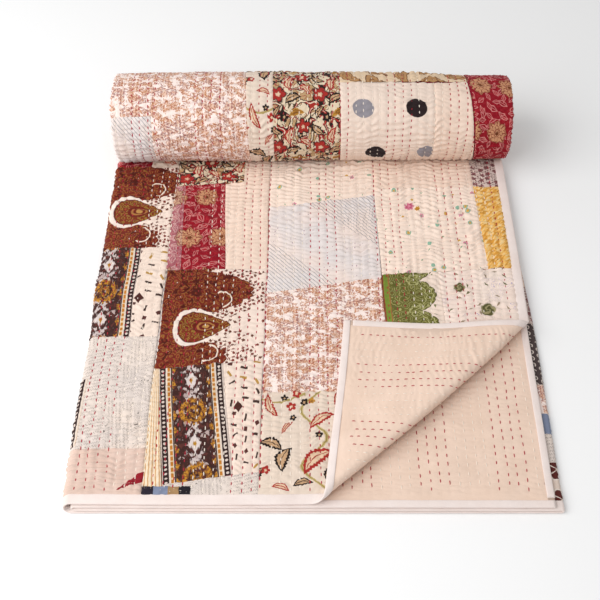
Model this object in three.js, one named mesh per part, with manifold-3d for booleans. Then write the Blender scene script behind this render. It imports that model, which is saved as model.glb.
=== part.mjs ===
// A quilted bed cover folded in four along its length, its far end rolled forward on top of the
// stack and the front right corner of the top layer turned back.
// Millimetres, Z up. X runs along the roll, Y runs from the front edge to the roll.

import * as THREE from 'three';
import { mergeVertices } from 'three/addons/utils/BufferGeometryUtils.js';
import Module from 'manifold-3d';

const wasm = await Module();
wasm.setup();

// Cloth
const CLOTH = 1.4;            // top cloth, backing and quilting together
const PITCH_FRONT = 3.9;      // from one layer to the next, near the front edge
const PITCH_ROLL = 3.75;      // from one layer to the next, where the stack enters the roll
const FRONT_LIFT = 0.95;      // the front edges rise by this much, over their binding
const FRONT_LIFT_FROM = 12;
const FRONT_LIFT_TO = 32;
const SWELL = 0.9;            // gentle waves of the top layer

// Binding: a folded strip over the raw edges
const BINDING_WIDTH = 12;
const BINDING_WALL = 0.5;
const BINDING_GAP = 0.45;
const BINDING_END = 568;      // the side strips end where the roll comes down on the stack

// Roll
const PLY = 6.08;             // four layers, pressed together
const FLAT_SPOT = 1;          // how far the roll has sunk on its underside
const ROLL_LEFT = { x: -284, back: 598 };
const ROLL_RIGHT = { x: 291, back: 604 };
const END_DISH = 4;
const END_ROUND = 2.5;
const TUCK = 8;               // the stack ends this far beyond the roll's lowest line
const AROUND = 44;

// The turned-back corner: the fold line runs from the front edge to the right edge
const FOLD_FROM = { x: -5, y: -1.5 };
const FOLD_TO = { x: 279, y: 260.5 };
const FOLD_RADIUS = 7;
const FOLD_BOW = 6.5;         // the fold line bends out by this much
const FOLD_LIFT = 5;          // the top layer rises by this much beside the fold
const FOLD_LIFT_REACH = 95;
const FOLD_REST = 3.4;        // the turned corner lies this far above the top layer
const FOLD_SETTLE = 85;
const FOLD_STEPS = 10;

// Edges of the stack against the distance from the front edge.
// left: outer fold, inner: how far the inner fold lies inside it, fold: right-hand fold of the two
// lower layers, top: free edge of layer 1, second: free edge of layer 2
const EDGES = [
  { back: 0, left: -289.5, inner: 9.5, fold: 291.5, top: 284, second: 281.5 },
  { back: 150, left: -291.5, inner: 8, fold: 294, top: 285.5, second: 283.5 },
  { back: 250, left: -289, inner: 7, fold: 295.5, top: 287, second: 284.5 },
  { back: 306, left: -292.5, inner: 7, fold: 294.5, top: 288, second: 285 },
  { back: 350, left: -289.5, inner: 6, fold: 293, top: 289, second: 286 },
  { back: 450, left: -291, inner: 5, fold: 291.5, top: 290, second: 287.5 },
  { back: 561, left: -289, inner: 4, fold: 291, top: 291, second: 289 },
  { back: 598, left: -284, inner: 4, fold: 290.5, top: 290.5, second: 289 },
];

// Radius of the roll along its length
const ROLL_RADIUS = [
  { x: -284, radius: 66.2 },
  { x: -240, radius: 67 },
  { x: -150, radius: 67.5 },
  { x: -40, radius: 66.8 },
  { x: 83, radius: 66 },
  { x: 144, radius: 64.8 },
  { x: 187, radius: 63.8 },
  { x: 291, radius: 62.4 },
];

// The cloth in section, from the free edge of layer 2 to the free edge of layer 1.
// level: layer counted from the floor, front: how far its front edge lies from the top one's
const SECTION = [
  { part: 'layer', length: 560, level: 2, front: -2, steps: 9 },
  { part: 'inner fold', length: 6, level: 2, front: -2, steps: 5 },
  { part: 'layer', length: 568, level: 1, front: -4, steps: 8 },
  { part: 'right fold', length: 6, level: 1, front: -4, steps: 5 },
  { part: 'layer', length: 573, level: 0, front: -5, steps: 8 },
  { part: 'outer fold', length: 19, level: 0, front: -5, steps: 6 },
  { part: 'layer', length: 568, level: 3, front: 0, steps: 18 },
];
const AROUND_CLOTH = SECTION.reduce((sum, row) => sum + row.length, 0);

// Stations from the front edge to the roll
const ROW_STEP = 32;

function smooth(value, from, to) {
  const u = Math.min(Math.max((value - from) / (to - from), 0), 1);
  return u * u * (3 - 2 * u);
}

function along(table, key, value, name) {
  let i = 0;
  while (i < table.length - 2 && value > table[i + 1][key]) i += 1;
  const [a, b] = [table[i], table[i + 1]];
  const u = Math.min(Math.max((value - a[key]) / (b[key] - a[key]), 0), 1);
  return a[name] + (b[name] - a[name]) * u;
}

function edge(y, name) {
  const rounding = [[-30, 0.1], [-15, 0.2], [0, 0.4], [15, 0.2], [30, 0.1]];
  return rounding.reduce((sum, [step, share]) => sum + share * along(EDGES, 'back', y + step, name), 0);
}

function rollBack(x) {
  const u = (x - ROLL_LEFT.x) / (ROLL_RIGHT.x - ROLL_LEFT.x);
  return ROLL_LEFT.back + (ROLL_RIGHT.back - ROLL_LEFT.back) * u;
}

// Height of the middle of a layer above the floor
function height(level, x, y) {
  const toRoll = rollBack(x) - y;
  const pitch = PITCH_ROLL + (PITCH_FRONT - PITCH_ROLL) * smooth(toRoll, 20, 120);
  const lift = FRONT_LIFT * (1 - smooth(y, FRONT_LIFT_FROM, FRONT_LIFT_TO));
  const wave = Math.sin(x / 52 + 0.5) * Math.cos(y / 71 + 1) + 0.7 * Math.sin(x / 83 - y / 47);
  const swell = SWELL * (level / 3) ** 2 * (wave + 1.2) * smooth(toRoll, 30, 110);
  return CLOTH / 2 + lift + level * pitch + swell;
}

const foldLength = Math.hypot(FOLD_TO.x - FOLD_FROM.x, FOLD_TO.y - FOLD_FROM.y);
const foldAlong = { x: (FOLD_TO.x - FOLD_FROM.x) / foldLength, y: (FOLD_TO.y - FOLD_FROM.y) / foldLength };
const foldOut = { x: foldAlong.y, y: -foldAlong.x };

// Where a point of the top layer lies against the fold line: beyond it is positive
function foldFrame(x, y) {
  const dx = x - FOLD_FROM.x;
  const dy = y - FOLD_FROM.y;
  const run = dx * foldAlong.x + dy * foldAlong.y;
  const share = Math.min(Math.max(run / foldLength, 0), 1);
  const bow = FOLD_BOW * Math.sin(Math.PI * share ** 1.25);
  return { run, share, bow, out: dx * foldOut.x + dy * foldOut.y - bow };
}

function topLayer(x, y) {
  const { run, share, bow, out } = foldFrame(x, y);
  const turn = Math.min(Math.max(out / FOLD_RADIUS, 0), Math.PI);
  const past = Math.max(out - Math.PI * FOLD_RADIUS, 0);
  const place = out <= 0 ? out : FOLD_RADIUS * Math.sin(turn) - past;
  const rise = FOLD_RADIUS * (1 - Math.cos(turn));
  const fall = (2 * FOLD_RADIUS - FOLD_REST) * smooth(past, 0, FOLD_SETTLE);
  const beside = 1 - smooth(Math.max(-place, 0), 0, FOLD_LIFT_REACH);
  const lift = FOLD_LIFT * beside * Math.sin(Math.PI * share) ** 0.8;
  const px = FOLD_FROM.x + run * foldAlong.x + (place + bow) * foldOut.x;
  const py = FOLD_FROM.y + run * foldAlong.y + (place + bow) * foldOut.y;
  return new THREE.Vector3(px, py, height(3, px, py) + lift + rise - fall);
}

// Middle of the cloth: s runs round the section, t from the front edge to the roll
function clothAt(s, t) {
  let start = 0;
  let i = 0;
  while (i < SECTION.length - 1 && s >= start + SECTION[i].length) {
    start += SECTION[i].length;
    i += 1;
  }
  const row = SECTION[i];
  const next = SECTION[Math.min(i + 1, SECTION.length - 1)];
  const u = (s - start) / row.length;
  const y = t + (row.part === 'layer' ? row.front : row.front + (next.front - row.front) * u);
  const left = edge(t, 'left');
  const inner = left + edge(t, 'inner');
  const fold = edge(t, 'fold');
  const bendInner = (height(2, inner, y) - height(1, inner, y)) / 2;
  const bendFold = (height(1, fold, y) - height(0, fold, y)) / 2;
  const bendLeft = (height(3, left, y) - height(0, left, y)) / 2;
  const bends = {
    'inner fold': { x: inner + bendInner, radius: bendInner, side: -1, upper: 2, lower: 1, from: 1 },
    'right fold': { x: fold - bendFold, radius: bendFold, side: 1, upper: 1, lower: 0, from: 1 },
    'outer fold': { x: left + bendLeft, radius: bendLeft, side: -1, upper: 3, lower: 0, from: -1 },
  };
  const bend = bends[row.part];
  if (bend) {
    const middle = (height(bend.upper, bend.x, y) + height(bend.lower, bend.x, y)) / 2;
    const x = bend.x + bend.side * bend.radius * Math.sin(Math.PI * u);
    return new THREE.Vector3(x, y, middle + bend.from * bend.radius * Math.cos(Math.PI * u));
  }
  const spans = {
    3: [left + bendLeft, edge(t, 'top')],
    2: [edge(t, 'second'), inner + bendInner],
    1: [inner + bendInner, fold - bendFold],
    0: [fold - bendFold, left + bendLeft],
  };
  const [from, to] = spans[row.level];
  const x = from + (to - from) * u;
  return row.level === 3 ? topLayer(x, y) : new THREE.Vector3(x, y, height(row.level, x, y));
}

// Direction of the patchwork side
function outwardAt(s, t) {
  const step = 0.4;
  const across = clothAt(s + step, t).sub(clothAt(s - step, t));
  const down = clothAt(s, t + step).sub(clothAt(s, t - step));
  return across.cross(down).normalize();
}

// Cells of a flat sheet between the given columns and rows
function cells(columns, rows) {
  const list = [];
  for (let i = 0; i < columns.length - 1; i += 1) {
    for (let j = 0; j < rows.length - 1; j += 1) {
      const [s0, s1, t0, t1] = [columns[i], columns[i + 1], rows[j], rows[j + 1]];
      list.push([[s0, t0], [s1, t0], [s1, t1], [s0, t1]]);
    }
  }
  return list;
}

// Cuts every cell along the line where measure() equals level
function cutAlong(list, measure, level) {
  const near = 0.4;
  return list.flatMap((cell) => {
    const at = cell.map(([s, t]) => {
      const value = measure(s, t) - level;
      return Math.abs(value) < near ? 0 : value;
    });
    if (at.every((v) => v >= 0) || at.every((v) => v <= 0)) return [cell];
    const sides = [[], []];
    cell.forEach((corner, i) => {
      const j = (i + 1) % cell.length;
      if (at[i] >= 0) sides[0].push(corner);
      if (at[i] <= 0) sides[1].push(corner);
      if (at[i] * at[j] < 0) {
        const u = at[i] / (at[i] - at[j]);
        const cut = [corner[0] + (cell[j][0] - corner[0]) * u, corner[1] + (cell[j][1] - corner[1]) * u];
        sides[0].push(cut);
        sides[1].push(cut);
      }
    });
    return sides.filter((side) => side.length > 2);
  });
}

// Fold lines of the turned corner, only where the top layer lies
const topStart = AROUND_CLOTH - SECTION[SECTION.length - 1].length;
function outOfFold(s, t) {
  if (s < topStart - 1e-6) return -1e3;
  const bendLeft = (3 * PITCH_FRONT) / 2;
  const from = edge(t, 'left') + bendLeft;
  const u = (s - topStart) / (AROUND_CLOTH - topStart);
  return foldFrame(from + (edge(t, 'top') - from) * u, t).out;
}

function foldCuts(list) {
  const top = list.filter((cell) => cell.every(([s]) => s > topStart - 1e-6));
  const rest = list.filter((cell) => !cell.every(([s]) => s > topStart - 1e-6));
  let cut = top;
  for (let i = 0; i <= FOLD_STEPS; i += 1) {
    cut = cutAlong(cut, outOfFold, (i / FOLD_STEPS) * Math.PI * FOLD_RADIUS);
  }
  return rest.concat(cut);
}

function solid(positions, triangles) {
  let geometry = new THREE.BufferGeometry();
  geometry.setAttribute('position', new THREE.Float32BufferAttribute(positions, 3));
  geometry.setIndex(triangles);
  geometry = mergeVertices(geometry, 1e-4);
  const mesh = new wasm.Mesh({
    numProp: 3,
    vertProperties: new Float32Array(geometry.attributes.position.array),
    triVerts: new Uint32Array(geometry.index.array),
  });
  return new wasm.Manifold(mesh);
}

// A sheet of even thickness on the cloth's form
function thicken(list, half) {
  const index = new Map();
  const points = [];
  const number = ([s, t]) => {
    const key = `${s.toFixed(3)} ${t.toFixed(3)}`;
    if (!index.has(key)) {
      const middle = clothAt(s, t);
      const out = outwardAt(s, t).multiplyScalar(half);
      index.set(key, points.length / 2);
      points.push(middle.clone().add(out), middle.clone().sub(out));
    }
    return index.get(key);
  };
  const triangles = [];
  const edges = new Map();
  for (const cell of list) {
    const ring = cell.map(number);
    for (let i = 1; i < ring.length - 1; i += 1) {
      const [a, b, c] = [ring[0], ring[i], ring[i + 1]];
      triangles.push(2 * a, 2 * b, 2 * c, 2 * a + 1, 2 * c + 1, 2 * b + 1);
    }
    ring.forEach((a, i) => {
      const b = ring[(i + 1) % ring.length];
      if (edges.has(`${b} ${a}`)) edges.delete(`${b} ${a}`);
      else edges.set(`${a} ${b}`, [a, b]);
    });
  }
  for (const [a, b] of edges.values()) {
    triangles.push(2 * a + 1, 2 * b + 1, 2 * b, 2 * a + 1, 2 * b, 2 * a);
  }
  return solid(points.flatMap((p) => [p.x, p.y, p.z]), triangles);
}

function spread(from, to, count) {
  return Array.from({ length: count + 1 }, (_, i) => from + ((to - from) * i) / count);
}

// Columns round the section and rows along the cloth
const columns = [0, BINDING_WIDTH];
let reached = 0;
SECTION.forEach((row, i) => {
  const from = i === 0 ? BINDING_WIDTH : reached;
  const to = i === SECTION.length - 1 ? AROUND_CLOTH - BINDING_WIDTH : reached + row.length;
  columns.push(...spread(from, to, row.steps).slice(1));
  reached += row.length;
});
columns.push(AROUND_CLOTH);
const rollEnd = ROLL_RIGHT.back + TUCK;
const rows = [0, BINDING_WIDTH];
rows.push(...spread(BINDING_WIDTH, BINDING_END, Math.round(BINDING_END / ROW_STEP)).slice(1), rollEnd);

const sheet = thicken(foldCuts(cells(columns, rows)), CLOTH / 2);

// The roll: the wound outline at stations along its length, closed where the stack enters it
function rollOutline(x, share) {
  const radius = along(ROLL_RADIUS, 'x', x, 'radius');
  const ring = [];
  for (let i = 0; i <= AROUND; i += 1) {
    const turn = (i / AROUND) * Math.PI * 2;
    const reach = (radius - (PLY * turn) / (Math.PI * 2)) * share;
    const y = rollBack(x) + reach * Math.sin(turn);
    ring.push([y, Math.max(radius - FLAT_SPOT - reach * Math.cos(turn), 0)]);
  }
  return ring;
}

const stations = [{ x: ROLL_LEFT.x + END_DISH, share: 0.3 }, { x: ROLL_LEFT.x + 1, share: 0.75 }];
stations.push({ x: ROLL_LEFT.x, share: 0.965 });
spread(ROLL_LEFT.x + END_ROUND, ROLL_RIGHT.x - END_ROUND, 20).forEach((x) => stations.push({ x, share: 1 }));
stations.push({ x: ROLL_RIGHT.x, share: 0.965 }, { x: ROLL_RIGHT.x - 1, share: 0.75 });
stations.push({ x: ROLL_RIGHT.x - END_DISH, share: 0.3 });

const rollPoints = [];
const rollTriangles = [];
const size = AROUND + 1;
stations.forEach(({ x, share }) => {
  rollOutline(x, share).forEach(([y, z]) => rollPoints.push(x, y, z));
});
for (let k = 0; k < stations.length - 1; k += 1) {
  for (let i = 0; i < size; i += 1) {
    const j = (i + 1) % size;
    const [a, b, c, d] = [k * size + i, k * size + j, (k + 1) * size + j, (k + 1) * size + i];
    rollTriangles.push(a, b, c, a, c, d);
  }
}
[0, stations.length - 1].forEach((k) => {
  const { x } = stations[k];
  const centre = rollPoints.length / 3;
  rollPoints.push(x, rollBack(x), along(ROLL_RADIUS, 'x', x, 'radius') - FLAT_SPOT);
  for (let i = 0; i < size; i += 1) {
    const [a, b] = [k * size + i, k * size + ((i + 1) % size)];
    rollTriangles.push(...(k === 0 ? [centre, b, a] : [centre, a, b]));
  }
});
const roll = solid(rollPoints, rollTriangles);

// The binding: a folded strip round the edges, a web outside the edge and a wall on either face
function bandCells(beyond, end) {
  const outer = [-beyond, ...columns.slice(1, -1), AROUND_CLOTH + beyond];
  const sideRows = [...rows.filter((t) => t >= BINDING_WIDTH && t < end - 1), end];
  const front = cells(outer, [-beyond, BINDING_WIDTH]);
  const near = cells([-beyond, BINDING_WIDTH], sideRows);
  const far = cells([AROUND_CLOTH - BINDING_WIDTH, AROUND_CLOTH + beyond], sideRows);
  return foldCuts(front.concat(near, far));
}

function foldedStrip(list, gap, wall) {
  const reach = gap + wall;
  const inner = CLOTH / 2 + gap;
  const pull = (v) => (v < 0 ? (v * gap) / reach : v);
  const points = [];
  const index = new Map();
  const isFree = (s, t) => s < 0.01 - reach || s > AROUND_CLOTH + reach - 0.01 || t < 0.01 - reach;
  const free = [];
  const number = ([s, t]) => {
    const key = `${s.toFixed(3)} ${t.toFixed(3)}`;
    if (!index.has(key)) {
      const si = s > AROUND_CLOTH ? AROUND_CLOTH - pull(AROUND_CLOTH - s) : pull(s);
      const ti = pull(t);
      index.set(key, points.length);
      free.push(isFree(s, t));
      const outside = outwardAt(s, t).multiplyScalar(inner + wall);
      const inside = outwardAt(si, ti).multiplyScalar(inner);
      points.push([
        clothAt(s, t).add(outside), clothAt(s, t).sub(outside),
        clothAt(si, ti).add(inside), clothAt(si, ti).sub(inside),
      ]);
    }
    return index.get(key);
  };
  const [TOP, UNDER, TOP_IN, UNDER_IN] = [0, 1, 2, 3];
  const triangles = [];
  const face = (...corners) => {
    const ids = corners.map(([vertex, kind]) => vertex * 4 + kind);
    for (let i = 1; i < ids.length - 1; i += 1) triangles.push(ids[0], ids[i], ids[i + 1]);
  };
  const edges = new Map();
  for (const cell of list) {
    const ring = cell.map(number);
    face(...ring.map((v) => [v, TOP]));
    face(...ring.map((v) => [v, UNDER_IN]));
    const back = [ring[0], ...ring.slice(1).reverse()];
    face(...back.map((v) => [v, UNDER]));
    face(...back.map((v) => [v, TOP_IN]));
    ring.forEach((a, i) => {
      const b = ring[(i + 1) % ring.length];
      if (edges.has(`${b} ${a}`)) edges.delete(`${b} ${a}`);
      else edges.set(`${a} ${b}`, [a, b]);
    });
  }
  for (const [a, b] of edges.values()) {
    if (free[a] && free[b]) {
      face([a, UNDER], [b, UNDER], [b, TOP], [a, TOP]);
      face([a, TOP_IN], [b, TOP_IN], [b, UNDER_IN], [a, UNDER_IN]);
    } else {
      face([a, TOP_IN], [b, TOP_IN], [b, TOP], [a, TOP]);
      face([a, UNDER], [b, UNDER], [b, UNDER_IN], [a, UNDER_IN]);
      if (free[b]) face([b, TOP], [b, TOP_IN], [b, UNDER_IN], [b, UNDER]);
      if (free[a]) face([a, TOP_IN], [a, TOP], [a, UNDER], [a, UNDER_IN]);
    }
  }
  return solid(points.flat().flatMap((p) => [p.x, p.y, p.z]), triangles);
}
const strip = foldedStrip(bandCells(BINDING_GAP + BINDING_WALL, BINDING_END), BINDING_GAP, BINDING_WALL);

function finished(body, name, colour, roughness) {
  const mesh = body.getMesh();
  const geometry = new THREE.BufferGeometry();
  geometry.setAttribute('position', new THREE.Float32BufferAttribute(mesh.vertProperties, 3));
  geometry.setIndex(Array.from(mesh.triVerts));
  geometry.computeVertexNormals();
  const material = new THREE.MeshStandardMaterial({ color: colour, roughness, metalness: 0 });
  const result = new THREE.Mesh(geometry, material);
  result.name = name;
  return result;
}

const cloth = finished(sheet.add(roll), 'quilt_cloth', '#ecd2b8', 0.9);
const binding = finished(strip, 'edge_binding', '#f6ebe6', 0.85);

const group = new THREE.Group();
group.name = 'patchwork_quilt';
group.add(cloth, binding);
const box = new THREE.Box3().setFromObject(group);
const centre = box.getCenter(new THREE.Vector3());
for (const piece of group.children) piece.geometry.translate(-centre.x, -centre.y, -box.min.z);

export default group;
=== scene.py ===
import math

import bpy
import mathutils
import numpy as np
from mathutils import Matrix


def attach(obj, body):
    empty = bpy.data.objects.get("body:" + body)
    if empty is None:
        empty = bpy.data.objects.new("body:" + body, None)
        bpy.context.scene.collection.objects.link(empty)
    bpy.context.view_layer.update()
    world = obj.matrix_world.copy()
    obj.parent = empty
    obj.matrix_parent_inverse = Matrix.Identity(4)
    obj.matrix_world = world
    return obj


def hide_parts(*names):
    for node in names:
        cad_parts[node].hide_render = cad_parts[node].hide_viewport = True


bl_info = {
    "name": "Patchwork quilt",
    "version": (1, 0, 0),
    "blender": (4, 5, 0),
    "location": "3D View > Sidebar > Quilt",
    "description": "Builds the folded and rolled patchwork quilt, its patches, thread and binding",
    "category": "Object",
}

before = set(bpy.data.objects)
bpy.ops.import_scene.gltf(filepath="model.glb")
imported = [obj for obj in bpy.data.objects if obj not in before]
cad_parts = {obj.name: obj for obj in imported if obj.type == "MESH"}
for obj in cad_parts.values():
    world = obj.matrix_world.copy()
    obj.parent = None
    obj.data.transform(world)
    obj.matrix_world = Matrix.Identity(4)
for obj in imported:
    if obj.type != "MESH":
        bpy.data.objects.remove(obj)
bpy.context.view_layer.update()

MM = 0.001
PRINT_MAP = "print"

# Place of the solids' own centre in the cloth's measure, in millimetres: x, y, height of the floor
CENTRE = (1.892, 330.152, -0.022)

# Distances from one layer of cloth to the next
PITCH_FRONT = 3.9
PITCH_ROLL = 1.4
PRESSED_OVER = (8.0, 48.0)

# The front edges lie a little above the floor, over their binding
FRONT_LIFT = 0.95
FRONT_LIFT_OVER = (12.0, 32.0)
SWELL = 0.9
CLOTH_MIDDLE = 0.7

# The roll: its axis at either end, the thickness of the four pressed layers and the mean radius
ROLL_LEFT = (-284.0, 598.0)
ROLL_RIGHT = (291.0, 604.0)
PLY = 5.6
ROLL_MEAN = 66.5
ROLL_BLEND = 25.0

# The turned-back corner
FOLD_FROM = (-5.0, -1.5)
FOLD_TO = (279.0, 260.5)
FOLD_RADIUS = 7.0
FOLD_BOW = 6.5
FOLD_LIFT = 5.0
FOLD_LIFT_REACH = 95.0
FOLD_REST = 3.4
FOLD_SETTLE = 85.0

# Edges of the stack against the distance from the front edge, in millimetres
EDGE_COLUMNS = ("back", "left", "inner", "fold", "top", "second")
EDGE_ROWS = (
    (0, -289.5, 9.5, 291.5, 284, 281.5),
    (150, -291.5, 8, 294, 285.5, 283.5),
    (250, -289, 7, 295.5, 287, 284.5),
    (306, -292.5, 7, 294.5, 288, 285),
    (350, -289.5, 6, 293, 289, 286),
    (450, -291, 5, 291.5, 290, 287.5),
    (561, -289, 4, 291, 291, 289),
    (598, -284, 4, 290.5, 290.5, 289),
)
EDGES = {name: [row[i] for row in EDGE_ROWS] for i, name in enumerate(EDGE_COLUMNS)}
ROUNDING = ((-30, 0.1), (-15, 0.2), (0, 0.4), (15, 0.2), (30, 0.1))

# Radius of the roll along its length: x, radius
ROLL_RADIUS = (
    (-284, 66.2),
    (-240, 67.0),
    (-150, 67.5),
    (-40, 66.8),
    (83, 66.0),
    (144, 64.8),
    (187, 63.8),
    (291, 62.4),
)

# The cloth in section, from the free edge of layer 2 to the free edge of layer 1:
# part, length, layer from the floor, how far its front edge lies from the top one's
SECTION = (
    ("layer", 560.0, 2, -2.0),
    ("inner fold", 6.0, 2, -2.0),
    ("layer", 568.0, 1, -4.0),
    ("right fold", 6.0, 1, -4.0),
    ("layer", 573.0, 0, -5.0),
    ("outer fold", 19.0, 0, -5.0),
    ("layer", 568.0, 3, 0.0),
)
STARTS = np.concatenate([[0.0], np.cumsum([row[1] for row in SECTION])])
AROUND = float(STARTS[-1])
LENGTH = 2743.0
RUN_OF_LAYER = {row[2]: i for i, row in enumerate(SECTION) if row[0] == "layer"}
TOP, SECOND, BOTTOM = 3, 2, 0
TOP_START = STARTS[RUN_OF_LAYER[TOP]]

# The folded edges: side to which each bulges, layers above and below, and 1 if it starts on top
FOLDS = {
    "inner fold": (-1, 2, 1, 1),
    "right fold": (1, 1, 0, 1),
    "outer fold": (-1, 3, 0, -1),
}


def smooth(value, low, high):
    """Rises from 0 at low to 1 at high with a soft start and end."""
    u = np.clip((value - low) / (high - low), 0.0, 1.0)
    return u * u * (3.0 - 2.0 * u)


def edge(y, name):
    """Where an edge of the stack lies, its corners rounded off."""
    total = 0.0
    for step, share in ROUNDING:
        total = total + share * np.interp(y + step, EDGES["back"], EDGES[name])
    return total


def roll_back(x):
    """How far back the roll's axis lies."""
    u = (x - ROLL_LEFT[0]) / (ROLL_RIGHT[0] - ROLL_LEFT[0])
    return ROLL_LEFT[1] + (ROLL_RIGHT[1] - ROLL_LEFT[1]) * u


def roll_radius(x):
    return np.interp(x, [r[0] for r in ROLL_RADIUS], [r[1] for r in ROLL_RADIUS])


def layer_height(level, x, y):
    """Height of the middle of a layer of cloth."""
    to_roll = roll_back(x) - y
    pitch = PITCH_ROLL + (PITCH_FRONT - PITCH_ROLL) * smooth(to_roll, *PRESSED_OVER)
    lift = FRONT_LIFT * (1.0 - smooth(y, *FRONT_LIFT_OVER))
    wave = np.sin(x / 52 + 0.5) * np.cos(y / 71 + 1) + 0.7 * np.sin(x / 83 - y / 47)
    swell = SWELL * (level / 3) ** 2 * (wave + 1.2) * smooth(to_roll, 30, 110)
    return CLOTH_MIDDLE + lift + level * pitch + swell


FOLD_LENGTH = math.hypot(FOLD_TO[0] - FOLD_FROM[0], FOLD_TO[1] - FOLD_FROM[1])
FOLD_ALONG = ((FOLD_TO[0] - FOLD_FROM[0]) / FOLD_LENGTH, (FOLD_TO[1] - FOLD_FROM[1]) / FOLD_LENGTH)
FOLD_OUT = (FOLD_ALONG[1], -FOLD_ALONG[0])


def fold_frame(x, y):
    """How far a point of the top layer lies along the fold line and beyond it."""
    dx = x - FOLD_FROM[0]
    dy = y - FOLD_FROM[1]
    run = dx * FOLD_ALONG[0] + dy * FOLD_ALONG[1]
    share = np.clip(run / FOLD_LENGTH, 0.0, 1.0)
    bow = FOLD_BOW * np.sin(math.pi * share**1.25)
    return run, share, bow, dx * FOLD_OUT[0] + dy * FOLD_OUT[1] - bow


def top_layer(x, y):
    """The top layer with its corner turned back."""
    run, share, bow, out = fold_frame(x, y)
    turn = np.clip(out / FOLD_RADIUS, 0.0, math.pi)
    past = np.maximum(out - math.pi * FOLD_RADIUS, 0.0)
    place = np.where(out <= 0, out, FOLD_RADIUS * np.sin(turn) - past)
    rise = FOLD_RADIUS * (1 - np.cos(turn))
    fall = (2 * FOLD_RADIUS - FOLD_REST) * smooth(past, 0.0, FOLD_SETTLE)
    beside = 1 - smooth(np.maximum(-place, 0.0), 0.0, FOLD_LIFT_REACH)
    lift = FOLD_LIFT * beside * np.sin(math.pi * share) ** 0.8
    px = FOLD_FROM[0] + run * FOLD_ALONG[0] + (place + bow) * FOLD_OUT[0]
    py = FOLD_FROM[1] + run * FOLD_ALONG[1] + (place + bow) * FOLD_OUT[1]
    return px, py, layer_height(TOP, px, py) + lift + rise - fall


def half_bend(upper, lower, x, y):
    return (layer_height(upper, x, y) - layer_height(lower, x, y)) / 2


def spans(t):
    """Where each flat run starts and ends across the stack, by layer, and how far each fold bulges."""
    left = edge(t, "left")
    fold = edge(t, "fold")
    inner = left + edge(t, "inner")
    bends = {
        "inner fold": half_bend(2, 1, inner, t),
        "right fold": half_bend(1, 0, fold, t),
        "outer fold": half_bend(3, 0, left, t),
    }
    runs = {
        2: (edge(t, "second"), inner + bends["inner fold"]),
        1: (inner + bends["inner fold"], fold - bends["right fold"]),
        0: (fold - bends["right fold"], left + bends["outer fold"]),
        3: (left + bends["outer fold"], edge(t, "top")),
    }
    return runs, bends


def cloth_at(s, t):
    """Middle of the cloth, in millimetres: s runs round the section, t away from the front edge."""
    s, t = np.broadcast_arrays(np.asarray(s, float), np.asarray(t, float))
    runs, bends = spans(t)
    x, y, z = np.zeros(s.shape), t.copy(), np.zeros(s.shape)
    for i, (part, length, level, front) in enumerate(SECTION):
        here = np.ones(s.shape, bool) if i == 0 else s >= STARTS[i]
        if i < len(SECTION) - 1:
            here = here & (s < STARTS[i + 1])
        u = (s - STARTS[i]) / length
        if part == "layer":
            low, high = runs[level]
            px, py = low + (high - low) * u, t + front
            if level == TOP:
                px, py, pz = top_layer(px, py)
            else:
                pz = layer_height(level, px, py)
        else:
            next_level, next_front = SECTION[i + 1][2:]
            side, upper, lower, start = FOLDS[part]
            py = t + front + (next_front - front) * u
            fold_x = runs[next_level][0]
            middle = (layer_height(upper, fold_x, py) + layer_height(lower, fold_x, py)) / 2
            px = fold_x + side * bends[part] * np.sin(math.pi * u)
            pz = middle + start * bends[part] * np.cos(math.pi * u)
        x = np.where(here, px, x)
        y = np.where(here, py, y)
        z = np.where(here, pz, z)
    return np.stack(wind(x, y, z), -1)


def turn_at(over):
    """Angle wound so far, for a length of cloth past the roll's lowest line."""
    a = ROLL_MEAN - PLY / 2
    inside = np.maximum(a * a - PLY * np.maximum(over, 0) / math.pi, 0.0)
    return 2 * math.pi / PLY * (a - np.sqrt(inside))


def length_at(turn):
    """Length of cloth wound by that angle."""
    return (ROLL_MEAN - PLY / 2) * turn - PLY * turn**2 / (4 * math.pi)


def wind(x, y, z):
    """Winds what lies past the roll's lowest line round the roll."""
    back = roll_back(x)
    over = y - back
    turn = turn_at(over)
    scale = roll_radius(x) / ROLL_MEAN
    reach = (ROLL_MEAN - PLY * turn / (2 * math.pi) - z) * scale
    wound = over > 0
    height = ROLL_MEAN * scale - reach * np.cos(turn)
    blend = smooth(over, 0.0, ROLL_BLEND)
    height = height * blend + np.maximum(height, z) * (1 - blend)
    return x, np.where(wound, back + reach * np.sin(turn), y), np.where(wound, height, z)


def outward(s, t):
    """Direction of the patchwork side."""
    reach = 0.5
    across = cloth_at(s + reach, t) - cloth_at(s - reach, t)
    down = cloth_at(s, t + reach) - cloth_at(s, t - reach)
    n = np.cross(across, down)
    return n / np.maximum(np.linalg.norm(n, axis=-1, keepdims=True), 1e-9)


def x_to_s(level, x, t):
    """Place round the section of a point of a layer, given where it lies across the stack."""
    run = RUN_OF_LAYER[level]
    low, high = spans(np.asarray(t, float))[0][level]
    return STARTS[run] + SECTION[run][1] * (x - low) / (high - low)


# Unevenness of the cloth
LATTICE = np.random.default_rng(41).random((128, 128))


def noise(u, v):
    """Smooth noise from 0 to 1 with a grain of one unit."""
    u, v = np.broadcast_arrays(np.asarray(u, float), np.asarray(v, float))
    iu = np.floor(u).astype(int)
    iv = np.floor(v).astype(int)
    fu = u - iu
    fv = v - iv
    fu = fu * fu * (3 - 2 * fu)
    fv = fv * fv * (3 - 2 * fv)
    size = LATTICE.shape[0]
    a = LATTICE[iu % size, iv % size]
    b = LATTICE[(iu + 1) % size, iv % size]
    c = LATTICE[iu % size, (iv + 1) % size]
    d = LATTICE[(iu + 1) % size, (iv + 1) % size]
    return (a * (1 - fu) + b * fu) * (1 - fv) + (c * (1 - fu) + d * fu) * fv


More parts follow.
